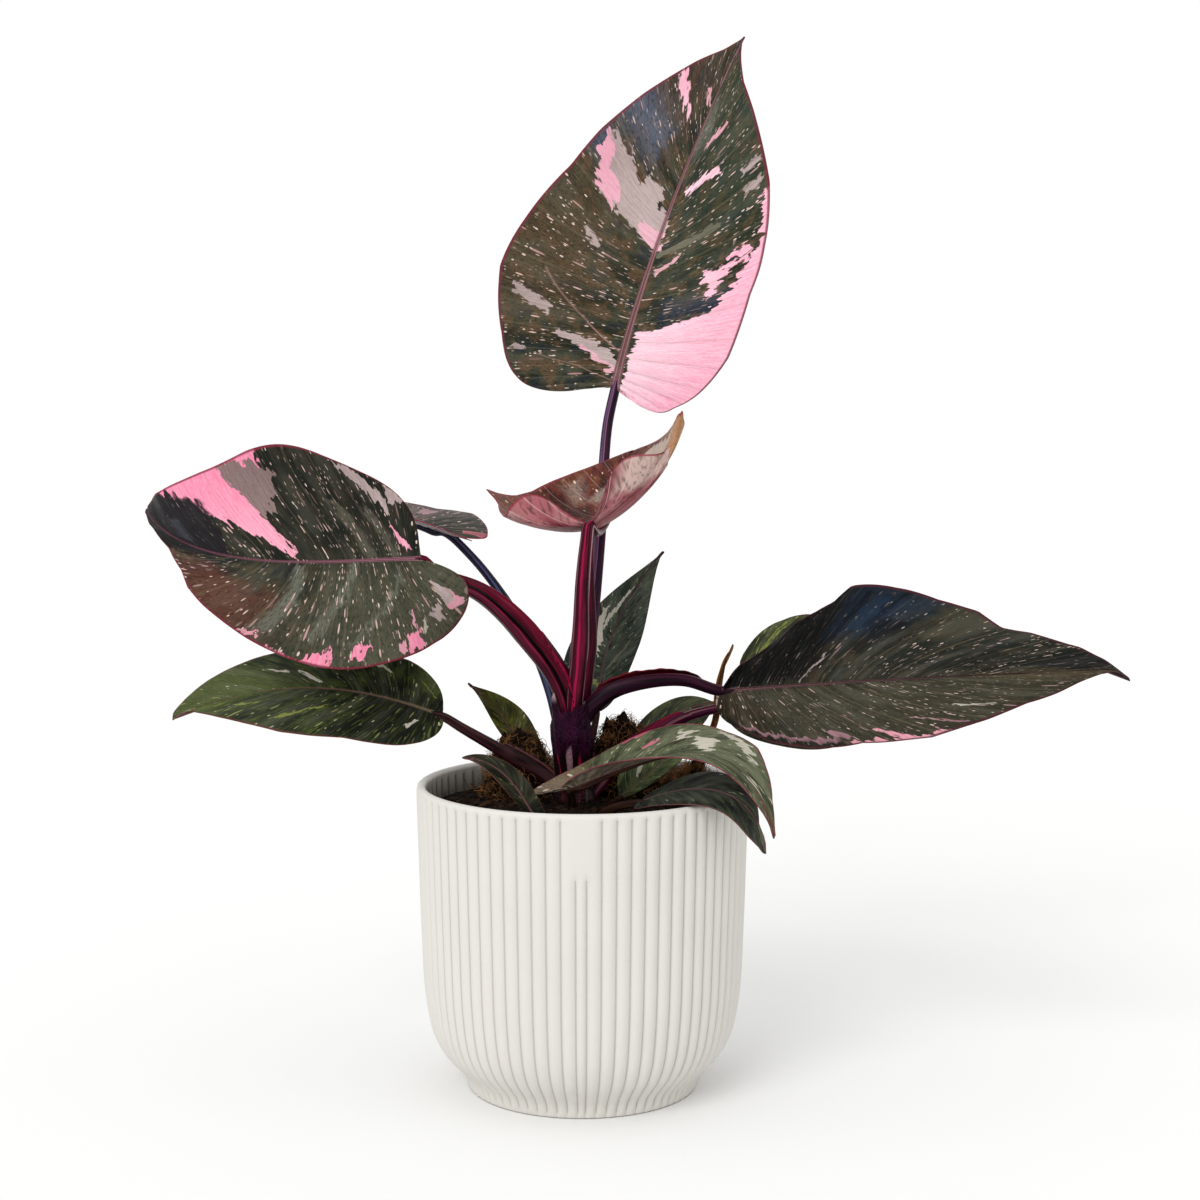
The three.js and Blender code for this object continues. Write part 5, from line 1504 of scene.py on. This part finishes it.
for name, leaf in LEAVES.items():
    finish = stalk_finish(name, *STALK_LOOKS.get(name, SMALL_STALK))
    add_piece(name + "_stem", stalk_mesh(leaf), [finish], name + "_stalk", tube=True)

# %% [markdown]
# ## Sheaths
# The lower part of a stalk once wrapped the next leaf, and its thin wings are still there beside the
# channel. Each is a narrow sheet that uses the same angles round the stalk as the stalk itself, so
# that it stays on it.

# %% Sheaths
SHEATH_WALL = 0.45  # mm
# the angle where it grows on, its free edge's angle, its span along the stalk and how far it flares
SHEATHS = {
    "left_leaf": (1.75, 0.30, (0.10, 0.47), 0.26),
    "low_left_leaf": (-1.9, -0.15, (0.05, 0.62), 0.8),
    "rear_right_leaf": (1.9, 0.05, (0.05, 0.85), 0.8),
    "right_leaf": (-1.5, -0.30, (0.18, 0.96), 0.48),
}
SHEATH_LOOKS = {
    "left_leaf": (("#1c040e", "#4a0a1e"), [(1.25, 0.2, "#5c0620"), (0.45, 0.12, "#8a1038")]),
    "low_left_leaf": (("#170a0b", "#382022"), [(-0.4, 0.1, "#5c3634")]),
    "rear_right_leaf": (("#250516", "#560e2e"), [(0.5, 0.15, "#861232"), (1.3, 0.15, "#7d505c")]),
    "right_leaf": (("#1c040a", "#3f0812"), [(-0.35, 0.1, "#6a1a26")]),
}


def sheath_mesh(leaf, fixed, free, span, flare):
    """A thin wing on a stalk, from the angle where it grows on to its free edge."""
    spine = StalkFrame(leaf)

    def bend(u, v):
        t = span[0] + (span[1] - span[0]) * v
        tall = u * np.sqrt(np.clip(1 - v**8, 0, 1)) * (1 + 0.05 * np.sin(37 * v) + 0.04 * np.sin(91 * v))
        radius = np.interp(t, [0, 0.5, 1], leaf["radii"]) * (0.95 + (flare + 0.05) * tall)
        return spine.ring(t * spine.own_length, fixed + (free - fixed) * tall, radius)

    return bent_grid(12, 90, bend)


for name, shape in SHEATHS.items():
    finish = stalk_finish(name + " sheath", *SHEATH_LOOKS[name])
    sheath = add_piece(name + "_sheath", sheath_mesh(LEAVES[name], *shape), [finish], None)
    thicken(sheath, SHEATH_WALL)

# %% [markdown]
# ## The collar
# Round the foot of the front stalks stands an old collar, the sheath of a leaf that has gone. Its
# rim is ragged. It is a sheet bent round an arc, and the height of its rim is read from a few
# points.

# %% Collar
COLLAR_FOOT, COLLAR_WALL = 131, 0.5  # mm
COLLAR_RADII = [131, 140, 150, 162, 172], [6.6, 7.7, 8.9, 9.2, 10]  # heights, and radii there
COLLAR_LEAN = [131, 141, 151, 170], [-3.5, -6.5, -9, -9.5]  # heights, and how far to the front
# degrees from the front, positive to the right, and the height of the ragged rim there in mm
COLLAR_RIM = [(-112, 147), (-82, 156), (-68, 160), (-58, 168.5), (-53, 171), (-46, 166), (-40, 163),
    (-28, 162.4), (-6, 162.9), (15, 165.2), (32, 166.9), (44, 163), (60, 156), (84, 149)]


def collar_mesh():
    first, last = COLLAR_RIM[0][0], COLLAR_RIM[-1][0]

    def bend(u, v):
        turn = first + (last - first) * u
        rim = np.interp(turn, *zip(*COLLAR_RIM)) + 0.5 * np.sin(turn * 0.5) + 0.3 * np.sin(turn * 1.3)
        z = COLLAR_FOOT + (rim - COLLAR_FOOT) * v
        radius = np.interp(z, *COLLAR_RADII) + 0.3 * np.sin(turn * 0.21 + z * 0.2)
        middle = np.interp(z, *COLLAR_LEAN)
        turn = np.radians(turn)
        places = np.stack([-4 + radius * np.sin(turn), middle - radius * np.cos(turn), z], axis=1)
        return places, {"bark": np.stack([9 * turn, z, 0 * z], axis=1)}

    return bent_grid(80, 40, bend)


def collar_skin():
    f = Finish("collar", 0.45, 0.06)
    bark = f.attribute("bark")
    around, level = f.split(bark)[:2]
    cells = f.stretch(bark, (0.7, 0.32, 1))
    net = f.node("TexVoronoi", {"Vector": cells, "Scale": 1.0}, feature="DISTANCE_TO_EDGE")
    threads = f.step(net.outputs[0], 0.02, 0.16)
    blots = f.long_noise(bark, (0.3, 0.06, 1), 3)
    colour = f.blend(f.step(blots, 0.38, 0.62), tone("#0d0109"), tone("#27041b"))
    colour = f.coat(colour, f.step(threads, 0, 1, 0.3, 0), "#3c1638")
    colour = f.coat(colour, f.step(level, 165.5, 170, 0, 0.8), "#b0989a")
    low = f.step(f.plus(level, f.step(blots, 0.3, 0.7, -3, 3)), 147, 143)
    colour = f.coat(colour, low, "#100409")
    wander = f.plus(around, f.sway(blots, 0.2, 0.8, 1.2))
    stripes = [(-7.6, 0.7, "#8f1438"), (-1.7, 1.1, "#86646e"), (3.6, 0.6, "#8f1438")]
    colour = f.bands(colour, wander, stripes, 0.3, 0.9, within=low)
    return f.wear(colour, threads, 0.2)


thicken(add_piece("crown_collar", collar_mesh(), [collar_skin()], None), COLLAR_WALL)

# %% [markdown]
# ## The crown
# The crown is the short knobbly stem in the middle, which all stalks grow from. It is a leaning tube
# whose radius swells and shrinks by a formula, with the net of an old stem's skin.

# %% Crown
CROWN_FOOT, CROWN_TOP = np.array([-4, 0, 96.0]), np.array([-2.5, -1, 152.0])
CROWN_RADII, CROWN_SHOULDER = (7, 9, 8.4, 6.5), 0.97  # above the shoulder it closes


def crown_mesh():
    def bend(u, v):
        turn = 2 * np.pi * u
        radius = np.interp(v, [0, 1 / 3, 2 / 3, CROWN_SHOULDER, 1], [*CROWN_RADII, 0.1])
        knobs = 0.35 * np.sin(5 * turn + 9 * v) * np.sin(17 * v) + 0.3 * np.sin(42 * v)
        radius = radius + knobs * (v < CROWN_SHOULDER)
        places = CROWN_FOOT + (CROWN_TOP - CROWN_FOOT) * v[:, None]
        ring = np.stack([radius * np.cos(turn), radius * np.sin(turn), 0 * turn], axis=1)
        return places + ring, {"bark": np.stack([turn, v, 56 * v], axis=1)}

    return bent_grid(64, 70, bend)


def crown_skin():
    f = Finish("crown", 0.4, 0.3)
    where = f.place()
    net = f.node("TexVoronoi", {"Vector": where, "Scale": 420.0}, feature="DISTANCE_TO_EDGE")
    threads = f.step(net.outputs[0], 0.02, 0.14)
    blots = f.long_noise(where, (160, 160, 60), 3)
    wander = f.plus(f.split(f.attribute("bark"))[0], f.sway(blots, 0.2, 0.8, 0.1))
    colour = f.blend(f.step(blots, 0.4, 0.62), tone("#1a070f"), tone("#3c0f22"))
    stripes = [(4.10, 0.10, "#8a1436"), (4.53, 0.13, "#6a4a5c"), (4.97, 0.08, "#7a1230"),
        (5.35, 0.06, "#5a5a34")]
    colour = f.bands(colour, wander, stripes, 0.05, 0.9)
    colour = f.coat(colour, f.step(threads, 0, 1, 0.45, 0), "#1c0a16")
    return f.wear(colour, threads, 0.2)


add_piece("crown_stem", crown_mesh(), [crown_skin()], "crown", tube=True)

# %% [markdown]
# ## The husk
# The husk is a dry sheath left standing behind the right-hand stalks, thin and ragged. It is a
# narrow sheet curled most of the way round a smooth path.

# %% Husk
HUSK_PATH = [(54, 9, 147), (57, 9.5, 156), (57.5, 10, 166), (60, 10, 178), (64, 9, 187)]
HUSK_WRAP, HUSK_WALL, HUSK_STEPS = 4.6, 0.35, 60  # radians, mm and points


def husk_mesh():
    path = smooth_path(HUSK_PATH, HUSK_STEPS)
    ahead = unit(np.gradient(path, axis=0))

    def bend(u, v):
        row = v * (HUSK_STEPS - 1)
        middle, direction = (look_up(row, np.arange(HUSK_STEPS), table) for table in (path, ahead))
        radius = np.interp(v, [0, 0.5, 1], [1.2, 1.4, 0.25]) * (1 + 0.12 * np.sin(9 * v + 4 * u))
        angle = (u - 0.5) * HUSK_WRAP + 0.25 * np.sin(7 * v) + math.pi / 2
        front = unit(np.array([0, -1.0, 0]) - direction * (direction[:, 1:2] * -1))
        aside = np.cross(direction, front)
        out = front * np.sin(angle)[:, None] + aside * np.cos(angle)[:, None]
        places = middle - radius[:, None] * out
        places[:, 2] += (v > 0.55) * 1.6 * np.sin(11 * u + 30 * v) * (v - 0.55)
        return places, {"husk": np.stack([u * 8, v * 45, 0 * u], axis=1)}

    return bent_grid(20, HUSK_STEPS, bend)


def husk_skin():
    f = Finish("dry husk", 0.75, 0.2)
    fibres = f.long_noise(f.attribute("husk"), (1.4, 0.08, 1), 3)
    return f.wear(f.blend(f.step(fibres, 0.35, 0.65), tone("#3d220f"), tone("#8a5a2e")), fibres, 0.3)


thicken(add_piece("husk_sheath", husk_mesh(), [husk_skin()], "husk"), HUSK_WALL)

# %% [markdown]
# ## The soil
# The potting mix fills the pot to a little under its rim. Its sides only have to follow the pot, so
# it is spun from an outline like the pot's inside, and a height formula gives it a lumpy top. The
# same formula later puts the coir and the crumbs down on it.

# %% Soil
SOIL_WALL, SOIL_MIDDLE, SOIL_RADIUS, SOIL_RINGS = 119, 123, 65.2, 44
SOIL_SIDE = [(0, 4.2), (43.5, 4.2), (50.3, 10.4), (59.8, 24.3), (63.1, 44), (SOIL_RADIUS, SOIL_WALL)]


def soil_top(x, y):
    """Height of the potting mix in mm at x, y."""
    out = np.hypot(x, y) / SOIL_RADIUS
    lumps = 0.8 * np.sin(x * 0.31 + 1.3 * np.sin(y * 0.23)) * np.sin(y * 0.29 + 1.1 * np.sin(x * 0.19))
    clods = 0.45 * np.sin(x * 1.07 + 2 * np.sin(y * 0.8)) * np.sin(y * 1.13 + 2 * np.sin(x * 0.7))
    rise = SOIL_MIDDLE + (SOIL_WALL - SOIL_MIDDLE) * out
    return float(rise + (lumps + clods) * np.clip(4 - 4 * out, 0, 1))


def soil_mesh():
    top = [(SOIL_RADIUS * (1 - ring / SOIL_RINGS), SOIL_WALL) for ring in range(1, SOIL_RINGS + 1)]
    mesh = spun(SOIL_SIDE + top, 120)
    for vert in mesh.verts:
        x, y, z = vert.co / MM
        if z > 100:
            vert.co.z = soil_top(x, y) * MM
    bmesh.ops.recalc_face_normals(mesh, faces=mesh.faces)
    return mesh


def soil_skin():
    f = Finish("potting mix", 0.9, 0.15)
    where = f.place()
    crumb = f.noise(where, 420, 4)
    clods = f.node("TexVoronoi", {"Vector": where, "Scale": 300.0})
    pick = f.split(clods.outputs["Color"])[0]
    colour = f.blend(crumb, tone("#040201"), tone("#0f0905"))
    colour = f.coat(colour, f.step(pick, 0.75, 0.95, 0, 0.5), "#33231a")
    return f.wear(colour, f.plus(crumb, clods.outputs["Distance"]), 1.2)


add_piece("soil_bed", soil_mesh(), [soil_skin()], "soil")

# %% [markdown]
# ## Coir on the soil
# Coir fibres lie curled on the mix. Fibres are quickest as curves with a round section, turned into
# one mesh. Each is drawn by a small walk that keeps turning about its own axis, and is lifted where
# it would dive into the soil.

# %% Coir on the soil
COIR_COUNT, COIR_THICKNESS, COIR_REACH, POT_REACH = 900, 0.35, 62, 64.4
FIBRE_SHINE, FIBRE_SPOTS = (0.85, 0.15), (260, 3)


def add_fibres(name, strands, thickness, finish):
    """One mesh of thin round fibres. A strand is a list of places in mm."""
    curve = bpy.data.curves.new(name, "CURVE")
    curve.dimensions = "3D"
    curve.bevel_depth = thickness / 2 * MM
    curve.bevel_resolution = 0
    curve.use_fill_caps = True
    for strand in strands:
        spline = curve.splines.new("POLY")
        spline.points.add(len(strand) - 1)
        flat = np.hstack([np.array(strand) * MM, np.ones((len(strand), 1))])
        spline.points.foreach_set("co", flat.ravel())
        spline.points.foreach_set("radius", np.linspace(1, 0.35, len(strand)))
    rough = add_object(name + " curve", curve)
    bpy.context.view_layer.update()
    data = bpy.data.meshes.new_from_object(rough.evaluated_get(bpy.context.evaluated_depsgraph_get()))
    bpy.data.objects.remove(rough)
    data.name = name
    return dress(add_object(name, data), [finish], None)


def scatter(rng, spread):
    """Three random numbers round zero."""
    return np.array([rng.gauss(0, spread) for _ in range(3)])


def curl(rng, start, heading, length, bends, joints):
    """A strand that sets out in a direction and curls as it goes."""
    place, direction, strand = np.array(start, float), unit(np.array(heading, float)), []
    axis = unit(scatter(rng, 1))
    for _ in range(joints):
        strand.append(place.copy())
        place = place + direction * length / joints
        direction = unit(direction + np.cross(axis, direction) * bends + scatter(rng, 0.18))
    return strand


def inside(strand, radius):
    """The part of a strand that lies within a radius of the pot's axis."""
    return [place for place in strand if math.hypot(place[0], place[1]) < radius]


def long_enough(strands):
    return [strand for strand in strands if len(strand) > 3]


def disc_place(rng, radius):
    """A random place on a disc, spread evenly."""
    turn, out = rng.uniform(0, 2 * math.pi), radius * math.sqrt(rng.random())
    return out * math.cos(turn), out * math.sin(turn)


coir = speckled("coir", FIBRE_SHINE, FIBRE_SPOTS, ("#0c0603", "#341f10"))
rng = random.Random(11)
strands = []
for _ in range(COIR_COUNT):
    x, y = disc_place(rng, COIR_REACH)
    heading = (rng.gauss(0, 1), rng.gauss(0, 1), rng.uniform(0.0, 0.35))
    strand = curl(rng, (x, y, soil_top(x, y) - 0.2), heading, rng.uniform(5, 14), 0.18, 8)
    strands.append([(x, y, max(z, soil_top(x, y) + 0.1)) for x, y, z in inside(strand, POT_REACH)])
add_fibres("soil_coir", long_enough(strands), COIR_THICKNESS, coir)

# %% [markdown]
# ## Bark crumbs
# Small crumbs of bark stick out of the mix. A round ball would look like gravel, so each is an
# icosphere with every point moved in or out, then flattened, tilted and put down.

# %% Bark crumbs
CRUMB_COUNT, CRUMB_REACH, CRUMB_SIZES, CRUMB_SHAPE = 700, 61.5, (0.8, 2.3), (1.3, 0.9, 0.5)


def crumb_mesh():
    mesh = bmesh.new()
    rng = random.Random(23)
    for _ in range(CRUMB_COUNT):
        x, y = disc_place(rng, CRUMB_REACH)
        size = rng.uniform(*CRUMB_SIZES)
        made = bmesh.ops.create_icosphere(mesh, subdivisions=1, radius=size * MM)["verts"]
        for vert in made:
            vert.co *= rng.uniform(0.75, 1.15)
        bmesh.ops.scale(mesh, vec=CRUMB_SHAPE, verts=made)
        turned = Matrix.Rotation(rng.uniform(0, 6.28), 3, "Z")
        turned = turned @ Matrix.Rotation(rng.uniform(-0.6, 0.6), 3, "X")
        bmesh.ops.rotate(mesh, verts=made, cent=(0, 0, 0), matrix=turned)
        place = (x * MM, y * MM, (soil_top(x, y) + 0.2 * size) * MM)
        bmesh.ops.translate(mesh, vec=place, verts=made)
    return mesh


bark = speckled("bark crumb", (0.85, 0.15), (160, 4), ("#0d0704", "#33200f"), (1200, 3), 0.25)
add_piece("soil_crumbs", crumb_mesh(), [bark], None)

# %% [markdown]
# ## Moss clumps
# Two clumps of coir and moss stand up beside the crown. Each has a dark core, a rough half ball that
# stands for the CAD node, and a coat of curly golden fibres that start on it.

# %% Moss clumps
# the middle, the half widths and the height of the top above the floor
MOUNDS = {"moss_left": ((-27, 15), (17, 15), 151), "moss_right": ((17, 17), (17, 14), 157)}
MOUND_FOOT, MOUND_FIBRES, FIBRE_THICKNESS = 111, 1500, 0.34
MOUND_SLIM = 0.92  # the core is this much slimmer than the CAD node, to leave room for the fibres


def mound_mesh(middle, size, top, rng):
    mesh = bmesh.new()
    bmesh.ops.create_icosphere(mesh, subdivisions=5, radius=1)
    for vert in mesh.verts:
        x, y, z = vert.co
        rough = 1 + 0.10 * math.sin(7 * x + 5 * z + top) * math.sin(8 * y - 3 * x)
        rough += rng.uniform(-0.03, 0.03)
        rise = (top - MOUND_FOOT) * 0.94 * z if z > 0 else 1.5 * z
        place = (middle[0] + size[0] * x * rough * MOUND_SLIM, middle[1] + size[1] * y * rough * MOUND_SLIM,
            MOUND_FOOT + rise * rough)
        vert.co = Vector(place) * MM
    return mesh


def mound_strand(middle, size, top, rng):
    turn, up = rng.uniform(0, 2 * math.pi), rng.uniform(0.1, 1)
    flat = math.sqrt(1 - up * up) * 0.9
    aside, ahead = flat * math.cos(turn), flat * math.sin(turn)
    start = (middle[0] + size[0] * aside, middle[1] + size[1] * ahead,
        MOUND_FOOT + (top - MOUND_FOOT) * MOUND_SLIM * up)
    heading = (aside + rng.gauss(0, 0.9), ahead + rng.gauss(0, 0.9), rng.gauss(0.1, 0.6))
    return curl(rng, start, heading, rng.uniform(6, 14), 0.7, 10)


golden = speckled("moss fibre", FIBRE_SHINE, FIBRE_SPOTS, ("#1a0e07", "#8a5f38"))
core = speckled("moss core", (0.95, 0.1), (300, 4), ("#090502", "#1d1208"), (900, 4), 1.0)
for name, mound in MOUNDS.items():
    rng = random.Random(name)
    add_piece(name + "_core", mound_mesh(*mound, rng), [core], name)
    strands = [mound_strand(*mound, rng) for _ in range(MOUND_FIBRES)]
    add_fibres(name + "_fibres", strands, FIBRE_THICKNESS, golden)

# %% [markdown]
# ## Coir beside the husk
# At the husk's foot the same fibres lie in a low heap, and a tuft of them runs up to the husk. The
# heap is made like the clumps, without a core, and the tuft is a bundle of nearly straight strands.

# %% Coir beside the husk
HEAP, HEAP_SIZE, HEAP_TOP, HEAP_FIBRES, HEAP_REACH = (47, 23), (17, 16), 15, 1900, 62
TUFT_FOOT, TUFT_TOP, TUFT_FIBRES = np.array([44.0, 15, 121]), np.array([54.0, 9.3, 149]), 240
rng = random.Random(37)
strands = []
for _ in range(HEAP_FIBRES):
    turn, out = rng.uniform(0, 2 * math.pi), math.sqrt(rng.random())
    x, y = HEAP[0] + HEAP_SIZE[0] * out * math.cos(turn), HEAP[1] + HEAP_SIZE[1] * out * math.sin(turn)
    if math.hypot(x, y) > HEAP_REACH:
        continue
    start = (x, y, soil_top(x, y) + HEAP_TOP * (1 - out * out) * rng.random())
    heading = (rng.gauss(0, 1), rng.gauss(0, 1), rng.gauss(0, 0.3))
    strands.append(inside(curl(rng, start, heading, rng.uniform(5, 12), 0.6, 9), HEAP_REACH + 1.5))
for _ in range(TUFT_FIBRES):
    spread = np.array([rng.gauss(0, 1.3), rng.gauss(0, 1.1), 0])
    strands.append([TUFT_FOOT + (TUFT_TOP - TUFT_FOOT) * k / 9 + spread * (1.5 - 0.08 * k)
        + np.array([rng.gauss(0, 0.35), rng.gauss(0, 0.35), 0]) for k in range(10)])
add_fibres("husk_coir", long_enough(strands), FIBRE_THICKNESS, golden)

# %% [markdown]
# ## The floor
# The plant stands on a plain pale floor that meets the white studio without an edge. It belongs to
# the studio and not to the plant, so it doesn't ride on a body.

# %% Floor
FLOOR_HALF = 6  # metres
floor_mesh = bmesh.new()
bmesh.ops.create_grid(floor_mesh, x_segments=1, y_segments=1, size=FLOOR_HALF)
floor_data = bpy.data.meshes.new("floor")
floor_mesh.to_mesh(floor_data)
floor_mesh.free()
floor = add_object("floor", floor_data)
f = Finish("floor", 0.9, 0.05)
floor.data.materials.append(f.wear(f.blend(f.noise(f.place(), 3, 2), tone("#ebebea"), tone("#ededec"))))
print("floor", 2 * FLOOR_HALF, "m wide")
